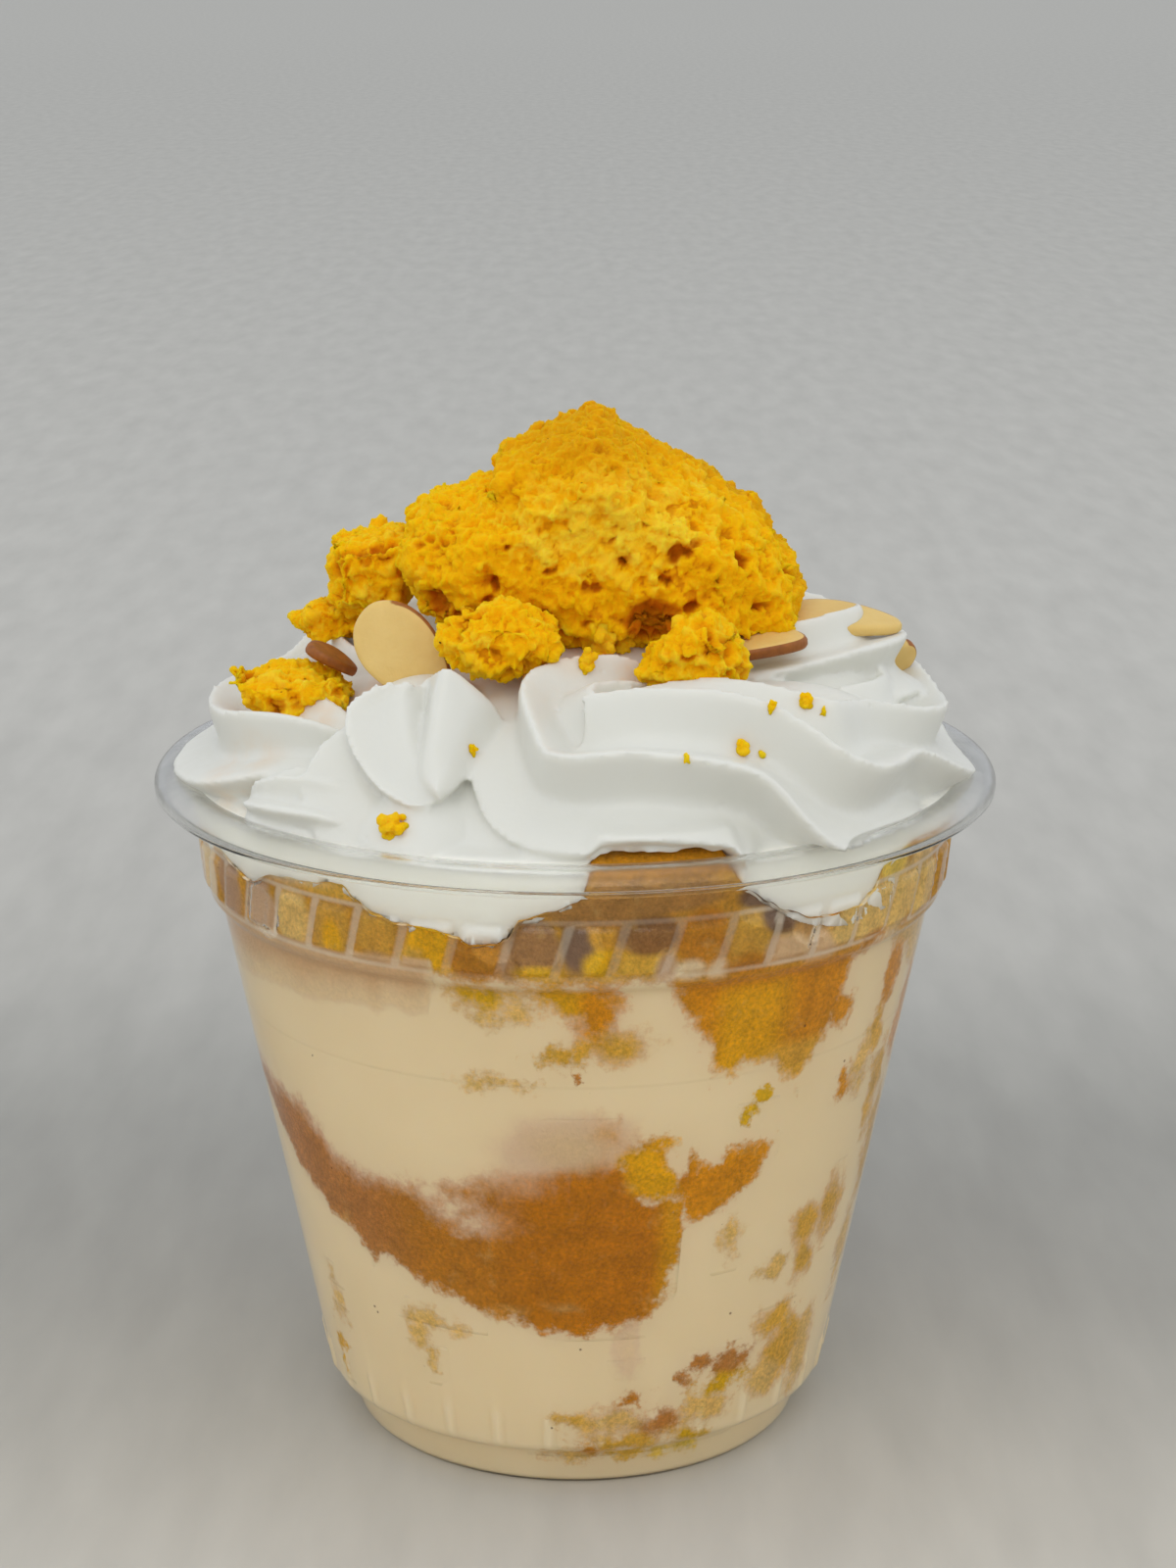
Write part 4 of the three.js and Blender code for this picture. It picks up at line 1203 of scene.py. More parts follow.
def cream_rope(name, stops, seed):
    rows = smooth_path(stops, ROPE_STEP)
    rings = []
    for i, (x, y, z, radius, roll) in enumerate(rows):
        before, after = rows[max(i - 1, 0)], rows[min(i + 1, len(rows) - 1)]
        travel = (Vector(after[:3]) - Vector(before[:3])).normalized()
        outward = travel.cross(Vector((0, 0, 1))).normalized()
        up = outward.cross(travel)
        end_share = min(i, len(rows) - 1 - i) * ROPE_STEP / radius
        cap = math.sqrt(clamp(1 - (1 - min(end_share, 1)) ** 2, 0.02, 1))
        ring = []
        for k in range(RING_POINTS):
            angle = math.tau * k / RING_POINTS
            star = star_reach(angle)
            lobe = round(angle / math.tau * CRESTS) % CRESTS
            sway = 0.035 * noise.noise(Vector((i * 0.09, lobe * 3.7, seed)))
            ragged = 0.012 * noise.noise(Vector((i * 0.7, lobe * 5.1, seed + 9)))
            ragged *= smooth_step(star, 0.86, 1)
            reach = radius * cap * (star + sway + ragged) * MM
            turned = angle + math.radians(roll)
            side = outward * math.cos(turned) + up * math.sin(turned)
            ring.append(Vector((x, y, z)) * MM + side * reach)
        rings.append(ring)
    return loft(name, rings)


ropes = [cream_rope(name, stops, i + 1) for i, (name, stops) in enumerate(ROPES.items())]
print("rope rings:", [len(rope.data.vertices) // RING_POINTS for rope in ropes])

# %% [markdown]
# On the left the rope doubled back on itself and left a fold of three petals. Each petal is drawn with
# three lines of points: the groove that it grows from, its edge and its free lip.

# %% Lines of the fold
GROOVE_LINE = [
    (-15.0, -21.5, 88.5), (-14.9, -23, 87), (-15.1, -24.6, 85.2), (-15.4, -26.8, 83.3), (-15.5, -29.5, 81.7),
    (-15.2, -31.7, 80.5), (-14.7, -33.2, 79.9),
]
LEFT_LIP = [
    (-16.6, -25.2, 89.9), (-19.1, -25.5, 89.7), (-21.8, -26.3, 88.4), (-23.2, -27.7, 86.7),
    (-23.0, -29.6, 84.8), (-21.7, -31.6, 82.7), (-20.0, -33.3, 80.9), (-18.2, -34.6, 79.8),
    (-16.3, -35.4, 79.2), (-14.1, -35.6, 79.2),
]
LEFT_EDGE = [
    (-16.2, -24.8, 88.9), (-17.0, -25.5, 88.2), (-16.9, -26.7, 87.0), (-16.5, -28.6, 85.0),
    (-16.0, -30.2, 83.2), (-15.5, -32.0, 81.5), (-15.0, -33.6, 80.2),
]
RIDGE_LINE = [
    (-13.4, -25.9, 90.9), (-13.9, -28, 88.2), (-14.3, -30.3, 85.4), (-14.9, -32.2, 82.8),
    (-14.9, -33.5, 81.2), (-14.0, -34.6, 80.2),
]
RIGHT_EDGE = [
    (-10.5, -24.2, 88.9), (-8.9, -24.1, 87.6), (-7.6, -24.2, 86.1), (-7.4, -24.9, 84.6), (-8.5, -27.3, 82.8),
    (-10, -30, 81.4), (-11.8, -33.5, 80.3), (-13.2, -35.2, 79.6),
]
LOWER_LIP = [
    (-20.5, -23.5, 86.5), (-23.5, -26, 84.9), (-26, -27.8, 83.0), (-27.3, -29.6, 80.3), (-26.9, -31.5, 77.4),
    (-25.4, -33.5, 74.6), (-23.5, -35.2, 72),
]
LOWER_ROOT = [
    (-19.5, -24, 86), (-21.3, -26, 84.6), (-21.5, -28, 83), (-21, -30, 80.8), (-19.6, -32.3, 78.4),
    (-18, -34.3, 76.4), (-16.5, -36, 74.4),
]
print("points along the left lip:", len(LEFT_LIP))

# %% [markdown]
# All lines of a petal get the same number of even steps. At each step a closed curve runs from deep in
# the cream over the petal's face to its sharp lip and back under it, and the curves are lofted. So the
# lip is thin and stands proud, and the body below it falls back.

# %% Petals of the fold
FOLD_FACES = Vector((0, -0.72, 0.69)).normalized()
PETAL_SECTIONS = 60
STEPS_PER_CORNER = 6
PETAL_DEPTH = 7


def even_line(points, count):
    """The given number of evenly spread points on a smooth curve through the points."""
    rows = [Vector(row) for row in smooth_path(points, 0.2)]
    lengths = [0.0]
    for a, b in zip(rows, rows[1:]):
        lengths.append(lengths[-1] + (b - a).length)
    picked = []
    for k in range(count):
        wanted = lengths[-1] * k / (count - 1)
        i = min(max(sum(length < wanted for length in lengths), 1), len(rows) - 1)
        share = (wanted - lengths[i - 1]) / max(lengths[i] - lengths[i - 1], 1e-9)
        picked.append(rows[i - 1].lerp(rows[i], share))
    return picked


def closed_curve(corners, per_side):
    """Points on a smooth closed curve through the corners; a corner given twice stays sharp."""
    points = []
    count = len(corners)
    for i in range(count):
        p0, p1, p2, p3 = (corners[(i + k) % count] for k in (-1, 0, 1, 2))
        if (p2 - p1).length < 1e-6:
            continue
        for step in range(per_side):
            points.append(curve_point(p0, p1, p2, p3, step / per_side))
    return points


def petal(name, root, edge, lip, belly, lip_reach):
    """A petal from its root line over its edge line to its lip; the belly lifts its face."""
    sections = []
    lines = [even_line(line, PETAL_SECTIONS) for line in (root, edge, lip)]
    for start, shoulder, tip in zip(*lines):
        outward = tip - shoulder
        outward = outward.normalized() if outward.length > 0.05 else Vector((0, -1, 0))
        middle = shoulder.lerp(tip, 0.5) + FOLD_FACES * belly
        under = tip - outward * lip_reach * 0.4 - FOLD_FACES * lip_reach
        low = tip - outward * lip_reach - FOLD_FACES * (lip_reach * 3)
        deep = start - FOLD_FACES * PETAL_DEPTH
        corners = [deep, start, shoulder, middle, tip, tip, under, low]
        sections.append([point * MM for point in closed_curve(corners, STEPS_PER_CORNER)])
    return loft(name, sections)


petals = [
    petal("left_petal", GROOVE_LINE, LEFT_EDGE, LEFT_LIP, -0.5, 1.7),
    petal("right_petal", GROOVE_LINE, RIDGE_LINE, RIGHT_EDGE, 1.1, 1.5),
    petal("lower_petal", [(x + 2, y + 2, z - 1) for x, y, z in LOWER_ROOT], LOWER_ROOT, LOWER_LIP, 0.3, 2.0),
]
print("petals:", [len(piece.data.polygons) for piece in petals])

# %% [markdown]
# Ropes and petals need something under them, as on the real cup, where the first turns of cream are
# buried. Six plain lumps fill those places; only their flanks are seen.

# %% Lumps under the ropes
# Each lump: name, place, and reach along X, Y and Z, in millimetres.
LUMPS = [
    ("fold_belly", (-15.5, -27.5, 73), (8.4, 11, 7.2)), ("fold_back", (-15, -17, 80), (9, 8.5, 8)),
    ("band_foot", (22, -15, 79.5), (12, 6, 7.4)), ("rope_foot", (5, -15.5, 81.5), (7, 5, 5.4)),
    ("pocket_floor", (25, -6.5, 81.2), (9, 6.5, 5.6)), ("right_floor", (31, 0, 80), (7, 7, 6)),
]


def cream_lump(name, place, reach):
    deselect_all()
    place = Vector(place) * MM
    bpy.ops.mesh.primitive_uv_sphere_add(segments=48, ring_count=24, radius=MM, location=place)
    lump = bpy.context.object
    lump.name = name
    lump.scale = reach
    bpy.ops.object.transform_apply(location=True, rotation=False, scale=True)
    return lump


lumps = [cream_lump(*lump) for lump in LUMPS]
print("lumps:", len(lumps))

# %% [markdown]
# Under the ropes lies a heap of cream. It reaches the wall behind the collar and ends there in a
# ragged lower edge on the sponge. It is round, so it is spun, and its edge is then raised to the
# sponge's upper border.

# %% The heap of cream
HEAP_STEPS = 360
HEAP_TOP = 90.5

heap_outline = [(0, 73.2), (30, 73.2), (36, 72), (fill_radius(65.6), 65.6)]
heap_outline += wall_outline(66, 73.6, 0.4) + [(40.6, 74.2), (40, 74.9)]
heap_outline += [(r, HEAP_TOP - 0.0105 * r * r) for r in (38, 35, 31, 27, 22, 16, 9)] + [(0, HEAP_TOP)]
heap = spun_piece("cream_heap", heap_outline, HEAP_STEPS)
for v in heap.data.vertices:
    direction = facing(v.co.x, v.co.y)
    radius = math.hypot(v.co.x, v.co.y) / MM
    if radius > 33 and v.co.z / MM < 74.5:
        broad = noise.noise(Vector((direction * 0.28, 0, 5)))
        ragged = 0.7 * broad + 0.3 * noise.noise(Vector((direction * 1.1, 0, 9)))
        edge = upper_top(direction) - 0.5 + ragged
        v.co.z = max(v.co.z, edge * MM)
print("heap faces:", len(heap.data.polygons))

# %% [markdown]
# Ropes, petals, lumps and heap are joined and remeshed into one skin, as cream runs together where it
# touches, and the skin is smoothed a little.

# %% Cream in one piece
CREAM_VOXEL = 0.40


def join_pieces(first, *others):
    deselect_all()
    for piece in (first, *others):
        piece.select_set(True)
    bpy.context.view_layer.objects.active = first
    bpy.ops.object.join()
    return first


def apply_modifier(piece, kind, **settings):
    make_active(piece)
    modifier = piece.modifiers.new(kind.lower(), kind)
    for key, value in settings.items():
        setattr(modifier, key, value)
    bpy.ops.object.modifier_apply(modifier=modifier.name)


def remesh(piece, voxel):
    apply_modifier(piece, "REMESH", mode="VOXEL", voxel_size=voxel * MM, adaptivity=0.0)


cream = join_pieces(heap, *ropes, *petals, *lumps)
cream.name = "whipped_cream_piped"
remesh(cream, CREAM_VOXEL)
apply_modifier(cream, "SMOOTH", factor=0.5, iterations=1)
print("cream faces after remeshing:", len(cream.data.polygons))

# %% [markdown]
# Where the cream touches the wall it is pressed onto it. In front, a little right of the middle, it
# stands back instead, its edge is lifted, and the sponge under it shows. The skin is then thinned to
# a number of triangles that is easy to handle.

# %% Cream at the wall
BARE_RADIUS = 36
EDGE_LIFT = 1.1
PRESSED_BELOW = 74.6
TRIANGLE_LIMIT = 190000


def bring_to(place, radius, wanted):
    place.x *= wanted / radius
    place.y *= wanted / radius


for v in cream.data.vertices:
    radius = math.hypot(v.co.x, v.co.y) / MM
    height = v.co.z / MM
    direction = facing(v.co.x, v.co.y)
    wall = fill_radius(height) + rib_push(direction, height)
    bare = smooth_step(direction, 1.5, 4) * smooth_step(-direction, -24, -21)
    if bare > 0 and radius > BARE_RADIUS - 1:
        edge_share = smooth_step(height, 72, 74) * smooth_step(-height, -78.5, -76.5)
        v.co.z += EDGE_LIFT * MM * bare * edge_share
        height = v.co.z / MM
    if height < 75.3 and bare > 0 and radius > BARE_RADIUS:
        held_share = bare * (1 - smooth_step(height, 74.3, 75.3))
        bring_to(v.co, radius, mix(radius, BARE_RADIUS, held_share))
    elif height < PRESSED_BELOW and radius > wall - 0.9:
        bring_to(v.co, radius, wall)
triangle_share = TRIANGLE_LIMIT / (2 * len(cream.data.polygons))
if triangle_share < 1:
    apply_modifier(cream, "DECIMATE", ratio=triangle_share)
shade(cream)
print("cream faces:", len(cream.data.polygons))

# %% [markdown]
# Cream is a satin white. Where it is pressed on the plastic under the rim it is painted brighter, which
# is painted light against the shade that the rim and plastic cast there. Milk and crumbs have stained it
# near the sponge. Both are kept on the vertices. Light sinks into it a little, which softens the grooves,
# and a weak bump gives its pits.

# %% Cream look
# Each stain of milk and crumb: x, y, z, reach in millimetres, strength.
STAINS = [
    (-18, -10, 87, 7, 0.8), (-3, -17, 89, 5, 0.9), (8, -17, 88, 5, 0.6), (-27, -14, 82, 7, 0.5),
    (-33, -18, 77, 7, 0.4), (13, -15, 88, 5, 0.4), (0, 0, 90, 14, 0.5),
]


def stain_at(spot):
    strongest = 0.0
    for x, y, z, reach, strength in STAINS:
        distance = (spot - Vector((x, y, z))).length
        strongest = max(strongest, strength * (1 - smooth_step(distance, reach * 0.35, reach)))
    return strongest


# Painted light: the cream on the wall under the rim is made brighter, against the shade that the rim and
# plastic cast there.
def wall_painted_light_at(spot):
    return smooth_step(math.hypot(spot.x, spot.y), 39.4, 40.2) * smooth_step(-spot.z, -75, -74.2)


store_values(cream, "wall_painted_light", [wall_painted_light_at(v.co / MM) for v in cream.data.vertices])
store_values(cream, "stain", [stain_at(v.co / MM) for v in cream.data.vertices])

cream_look, tree, shader = new_look("whipped cream")
place = object_place(tree)
broad = noise_texture(tree, place, 60, 3)
cream_tone = colour_mix(tree, broad, linear(221, 221, 214), linear(215, 214, 205))
# Painted light: brighter cream at the wall under the rim.
cream_tone = colour_mix(tree, attribute_node(tree, "wall_painted_light"), cream_tone, linear(250, 248, 238))
stain_noise = map_range(tree, noise_texture(tree, place, 240, 3, 0.6), 0.3, 0.7)
stain_share = math_node(tree, "MULTIPLY", attribute_node(tree, "stain"), stain_noise)
cream_tone = colour_mix(tree, stain_share, cream_tone, linear(222, 190, 152))
tree.links.new(cream_tone, shader.inputs["Base Color"])
pit = map_range(tree, scattered_spots(tree, place, 190), 0.0, 0.1)
satin = noise_texture(tree, place, 520, 4, 0.6)
roughen(tree, shader, math_node(tree, "MULTIPLY_ADD", satin, 0.45, pit), 0.28, 0.0003)
tree.links.new(map_range(tree, satin, 0.3, 0.7, 0.34, 0.46), shader.inputs["Roughness"])
shader.inputs["Specular IOR Level"].default_value = 0.4
soft_inside(shader, 0.35, (1.0, 0.95, 0.85), 0.0016)
finish_piece(cream, cream_look, "whipped_cream", "whipped_cream")
print("stains:", len(STAINS))

# %% [markdown]
# The sponge on top is torn, not cut. Each of its six pieces has an outline as seen from the front, and
# slices that say how its size changes from front to back. A piece is made in three steps: a block,
# small crumbs strewn over it and remeshed into one grainy skin, and a relief of lumps and pores.

# %% Torn sponge shapes
# Each outline is (x, z) in millimetres; each slice is (y, size share, drop).
TORN_PIECES = {
    "sponge_piece_main": {
        "outline": [
            (-19.2, 98.2), (-18.2, 101.8), (-15.2, 104.4), (-8.6, 105.8), (-8.3, 109.2), (-3.6, 110.8),
            (2.2, 113.6), (4.4, 112.6), (9.6, 108.8), (15.4, 105.8), (20.4, 102), (23.6, 97.4), (24.4, 94),
            (24, 90), (13, 89.6), (2, 89), (-9, 89.5), (-17, 93),
        ],
        "slices": [(-13, 0.62, 2), (-9, 0.93, 1), (0, 1, 0), (8, 0.96, 0.6), (13, 0.7, 2.5)],
        "crumbs": 1500, "voxel": 0.25, "hollows": 1.0,
    },
    "sponge_piece_left": {
        "outline": [
            (-26.5, 98.5), (-22, 99.3), (-18.4, 99), (-17.6, 94.5), (-19, 90.5), (-23, 90.5), (-26.8, 91.5),
        ],
        "slices": [(-2, 0.7, 0), (2, 1, 0), (8, 1, 0), (12, 0.7, 0)],
        "crumbs": 300, "voxel": 0.26, "hollows": 0.45,
    },
    "sponge_piece_front_left": {
        "outline": [
            (-14, 92.5), (-11.5, 95.5), (-6.5, 96.2), (-2.4, 94), (-1.6, 91), (-4, 88.8), (-8, 87.6),
            (-12.5, 89),
        ],
        "slices": [(-22, 0.55, 0), (-19.5, 0.95, 0), (-16, 1, 0), (-14.5, 0.6, 0)],
        "crumbs": 260, "voxel": 0.25, "hollows": 0.45,
    },
    "sponge_piece_front_right": {
        "outline": [
            (6.4, 88.8), (7.4, 91), (9.6, 92.4), (11, 94.4), (14, 95), (16.8, 93), (18.2, 89.4),
            (16.8, 87.2), (12, 86.8), (8, 87),
        ],
        "slices": [(-22.5, 0.6, 0), (-20, 0.95, 0), (-17, 1, 0), (-15, 0.6, 0)],
        "crumbs": 180, "voxel": 0.25, "hollows": 0.45,
    },
    "sponge_piece_far_left": {
        "outline": [
            (-36.5, 86.5), (-32, 87.6), (-28.5, 87.3), (-25, 87.2), (-23.2, 84.5), (-25.5, 82.5), (-30, 80.4),
            (-33.2, 82.4),
        ],
        "slices": [(-15, 0.55, 0), (-12.5, 0.95, 0), (-8.5, 1, 0), (-5, 0.6, 0)],
        "crumbs": 240, "voxel": 0.25, "hollows": 0.45,
    },
    "sponge_piece_small": {
        "outline": [
            (-31, 89.5), (-28.5, 91.4), (-25, 91), (-21.4, 88.6), (-22, 86.8), (-25, 87.4), (-29, 87),
        ],
        "slices": [(2, 0.6, 0), (4, 1, 0), (7, 1, 0), (9, 0.6, 0)],
        "crumbs": 140, "voxel": 0.25, "hollows": 0.45,
    },
}


print("torn pieces:", len(TORN_PIECES))

# %% [markdown]
# A block is modelled as by hand: a flat face in the shape of the outline, extruded back from slice to
# slice and resized at each. Extruding leaves the faces in an order that changes from run to run, and
# crumbs drawn at random from them would land elsewhere each time. So the faces are sorted at the end.

# %% Blocks of torn sponge
def steady_order(piece):
    """Rebuilds a piece with its faces sorted, each starting at its first vertex."""
    mesh = piece.data
    corners = [v.co.copy() for v in mesh.vertices]
    faces = []
    for face in mesh.polygons:
        ring = list(face.vertices)
        first = ring.index(min(ring))
        faces.append(ring[first:] + ring[:first])
    mesh.clear_geometry()
    mesh.from_pydata(corners, [], sorted(faces))
    mesh.update()


def torn_block(name, outline, slices):
    """The outline as a flat face, extruded back slice by slice."""
    deselect_all()
    bpy.ops.mesh.primitive_circle_add(vertices=len(outline), radius=MM, fill_type="NGON")
    block = bpy.context.object
    block.name = name
    middle_x = sum(x for x, z in outline) / len(outline)
    middle_z = sum(z for x, z in outline) / len(outline)
    middle = Vector((middle_x, 0, middle_z))
    front_y, front_share, front_drop = slices[0]
    for v, (x, z) in zip(block.data.vertices, outline):
        arm = (Vector((x, 0, z)) - middle) * front_share
        v.co = (middle + arm + Vector((0, front_y, -front_drop))) * MM
    bpy.ops.object.mode_set(mode="EDIT")
    bpy.ops.mesh.select_all(action="SELECT")
    for (y0, share0, drop0), (y1, share1, drop1) in zip(slices, slices[1:]):
        move = (0, (y1 - y0) * MM, (drop0 - drop1) * MM)
        bpy.ops.mesh.extrude_region_move(TRANSFORM_OT_translate={"value": move})
        pivot = (middle + Vector((0, y1, -drop1))) * MM
        ratio = share1 / share0
        bpy.ops.transform.resize(value=(ratio, 1, ratio), center_override=pivot)
    face_outwards()
    steady_order(block)
    return block


print("slices of the big piece:", len(TORN_PIECES["sponge_piece_main"]["slices"]))

# %% [markdown]
# Crumbs are small balls, each stretched and turned at random. One ball is made once, and its corners
# and faces are repeated for every crumb of a piece in one mesh.

# %% Crumbs strewn over a surface
CRUMB_RADII = (0.25, 0.7)
CRUMB_SUNK = (0.0, 0.9)


def ball_template():
    deselect_all()
    bpy.ops.mesh.primitive_ico_sphere_add(subdivisions=1, radius=1)
    ball = bpy.context.object
    corners = [v.co.copy() for v in ball.data.vertices]
    faces = [tuple(p.vertices) for p in ball.data.polygons]
    bpy.data.objects.remove(ball)
    return corners, faces


BALL_CORNERS, BALL_FACES = ball_template()


def strew(name, spots, rng):
    """Small uneven balls at the given (place, radius) spots, in metres."""
    vertices, faces = [], []
    for place, radius in spots:
        turn = Euler([rng.uniform(0, math.tau) for axis in range(3)]).to_matrix()
        stretch = Vector([rng.uniform(0.75, 1.25) for axis in range(3)])
        start = len(vertices)
        vertices += [place + turn @ (corner * stretch) * radius for corner in BALL_CORNERS]
        faces += [tuple(start + i for i in face) for face in BALL_FACES]
    return mesh_piece(name, vertices, faces)


def surface_spots(piece, count, rng):
    """Random points on a piece's surface with their normals, spread by area."""
    mesh = piece.data
    mesh.calc_loop_triangles()
    triangles = list(mesh.loop_triangles)
    chosen = rng.choices(triangles, weights=[t.area for t in triangles], k=count)
    spots = []
    for triangle in chosen:
        a, b, c = (mesh.vertices[i].co for i in triangle.vertices)
        u, w = sorted((rng.random(), rng.random()))
        spots.append((a * u + b * (w - u) + c * (1 - w), triangle.normal.copy()))
    return spots


print("each crumb has", len(BALL_FACES), "faces")

# %% [markdown]
# After remeshing, the skin is moved along its normals. Whole granules stand higher or lower than their
# neighbours, soft noise adds lumps, and hollows are sunk where the crumb has opened.

# %% Relief of the torn crumb
# How far each kind of relief lifts the skin, in millimetres.
LUMP_LIFT, ROUGH_LIFT, LARGE_LIFT, SMALL_LIFT, HOLLOW_DEPTH = 0.9, 0.5, 0.26, 0.42, 1.6
LARGE_GRANULE, SMALL_GRANULE = 1.7, 0.75
# Noise that gives a vector starts from the clock unless it gets a seed, so the skin would vary.
noise.seed_set(1)


def granule(spot, size):
    """Height of the crumb that a spot belongs to, from -1 to 1, and how near the spot is to its edge."""
    reach, centres = noise.voronoi(spot / size)
    return noise.noise(centres[0] * 2.7), 1 - smooth_step(reach[1] - reach[0], 0, 0.3)


def crumb_relief(spot, seed, hollows):
    """Lift in millimetres, how deep in a pore (for painted shade), and how high its grain (for a painted
    highlight), at a spot of torn sponge.
    """
    shifted = spot + Vector((seed * 7.3, 0, 0))
    shifted += noise.noise_vector(shifted / 0.8) * 0.22
    lump = noise.fractal(shifted / 5, 0.8, 2.1, 3)
    large, large_edge = granule(shifted, LARGE_GRANULE)
    small = granule(shifted, SMALL_GRANULE)[0]
    cavity = noise.noise(shifted / 3.2 + Vector((0, 9, 0))) + 0.5 * noise.noise(shifted / 1.3)
    cavity = smooth_step(cavity, 0.28, 0.6)
    cavity *= hollows * smooth_step(-spot.z, -107, -97)
    rough = noise.fractal(shifted / 1.5, 0.7, 2.1, 3)
    lift = LUMP_LIFT * lump + ROUGH_LIFT * rough + LARGE_LIFT * large + SMALL_LIFT * small
    lift -= HOLLOW_DEPTH * cavity
    low = smooth_step(-large - 0.5 * small - 0.6 * rough, 0.2, 0.8)
    return lift, clamp(0.1 * large_edge + cavity + 0.5 * low), 0.5 + 0.4 * large + 0.3 * small + 0.3 * rough


# Deep hollows in the torn face: x, y, z, reach and depth in millimetres.
DEEP_HOLLOWS = [
    (8, -12.5, 92.6, 3.6, 2.6), (-4, -12.5, 91.8, 3.2, 2.4), (1.8, -11.5, 96.6, 1.6, 1.3),
    (5.2, -11, 99.2, 1.5, 1.2), (9.5, -11, 97.6, 1.3, 1.0), (13.5, -11, 95.4, 1.5, 1.2),
    (-9, -11.5, 97, 1.4, 1.0), (17, -9, 98.4, 1.2, 0.9), (-14.5, -10, 94, 2.4, 1.6),
]


def deep_hollow(spot):
    """How deep, in millimetres, the torn face is hollowed at a spot."""
    deepest = 0.0
    ragged = 0.6 * noise.noise(spot / 0.9)
    for x, y, z, reach, depth in DEEP_HOLLOWS:
        away = math.hypot(spot.x - x, spot.z - z, 0.5 * (spot.y - y)) + ragged
        deepest = max(deepest, depth * (1 - smooth_step(away, reach * 0.3, reach)))
    return deepest


print("deep hollows:", len(DEEP_HOLLOWS))

# %% [markdown]
# Now each torn piece is made: block, strewn crumbs, one skin, relief. How deep each pore is and how
# high each grain stands are kept on the vertices, for the painted shade in the pores and the painted
# highlight on high grains.

# %% Torn pieces
def torn_sponge(name, shape, seed):
    rng = random.Random(seed)
    block = torn_block(name, shape["outline"], shape["slices"])
    spots = []
    for spot, normal in surface_spots(block, shape["crumbs"], rng):
        radius = rng.uniform(*CRUMB_RADII) * MM
        spots.append((spot - normal * radius * rng.uniform(*CRUMB_SUNK), radius))
    block = join_pieces(block, strew("crumbs", spots, rng))
    remesh(block, shape["voxel"])
    block.data.update()
    normals = [v.normal.copy() for v in block.data.vertices]
    pore_shades, grains = [], []
    for v, normal in zip(block.data.vertices, normals):
        lift, pore_shade, grain = crumb_relief(v.co / MM, seed, shape["hollows"])
        if shape["hollows"] == 1:
            sunk = deep_hollow(v.co / MM)
            # Deep hollows also take painted shade through the pore value.
            lift, pore_shade = lift - 0.8 * sunk, clamp(pore_shade + 0.6 * sunk)
        v.co += normal * lift * MM
        pore_shades.append(pore_shade)
        grains.append(grain)
    store_values(block, "pore_shade", pore_shades)
    store_values(block, "grain", grains)
    block.data.update()
    return block


torn = {name: torn_sponge(name.replace("sponge_piece", "torn"), shape, i + 1)
        for i, (name, shape) in enumerate(TORN_PIECES.items())}
print("torn faces:", {name: len(piece.data.polygons) for name, piece in torn.items()})

# %% [markdown]
# The big piece kept some of the baked crust on its upper right edge and its back, and the same brown
# darkens its top as painted shade. Its torn face is palest in the middle. The small pieces are crumb all
# over.

# %% Crust and pale crumb
NO_CRUST = 0.0
SOME_PALE = 0.35
PALE_MIDDLE = (4, 102.5)
PALE_REACH = (13, 6.5)


def crust_and_top_shade(spot, normal):
    back = smooth_step(spot.y, 7, 10)
    upper_right = smooth_step(spot.x, 1, 8) * smooth_step(spot.y, -5, 3)
    upper_right *= smooth_step(normal.z + normal.x, 0.3, 0.9)
    # Painted shade: the top is darkened with the crust's brown.
    return max(back, 0.8 * upper_right, 0.7 * smooth_step(spot.z, 105, 112))


def main_pale(spot):
    across = (spot.x - PALE_MIDDLE[0]) / PALE_REACH[0]
    high = (spot.z - PALE_MIDDLE[1]) / PALE_REACH[1]
    return 1 - smooth_step(math.hypot(across, high), 0.4, 1.25)


for name, piece in torn.items():
    crust_and_shade, pale = NO_CRUST, SOME_PALE
    if name == "sponge_piece_main":
        crust_and_shade = [crust_and_top_shade(v.co / MM, v.normal) for v in piece.data.vertices]
        pale = [main_pale(v.co / MM) for v in piece.data.vertices]
    store_values(piece, "crust_and_shade", crust_and_shade)
    store_values(piece, "pale", pale)
print("crust is on the big piece; the others have none")

# %% [markdown]
# Saffron and egg make the crumb a strong yellow. Light sinks deep into it and comes out warmer. The
# pores, crevices and hollows are painted shade in a deeper orange, raised grains carry a painted
# highlight in paler yellow, and small dark dots are specks of spice.

# %% Dry sponge look
CRUMB_YELLOW = linear(250, 184, 0)
CRUMB_PALE = linear(249, 210, 52)
PORE_SHADE = linear(202, 112, 0)
CRUST_AND_SHADE_BROWN = linear(208, 143, 0)
SPICE = linear(92, 52, 14)

dry_look, tree, shader = new_look("dry sponge")
place = object_place(tree)
patchy = noise_texture(tree, place, 260, 4, 0.65)
pale_share = math_node(tree, "MULTIPLY_ADD", attribute_node(tree, "pale"), 0.75, -0.5)
pale_share = math_node(tree, "ADD", pale_share, map_range(tree, patchy, 0.35, 0.7, 0.0, 0.5))
# Painted highlight: raised grains are paler, as if lit.
raised_grain_highlight = map_range(tree, attribute_node(tree, "grain"), 0.2, 0.8, -0.3, 0.35)
pale_share = math_node(tree, "ADD", pale_share, raised_grain_highlight, limit=True)
# Painted shade: pores, crevices and hollows are coloured a deeper orange.
pore_shade_share = map_range(tree, attribute_node(tree, "pore_shade"), 0.1, 0.9)
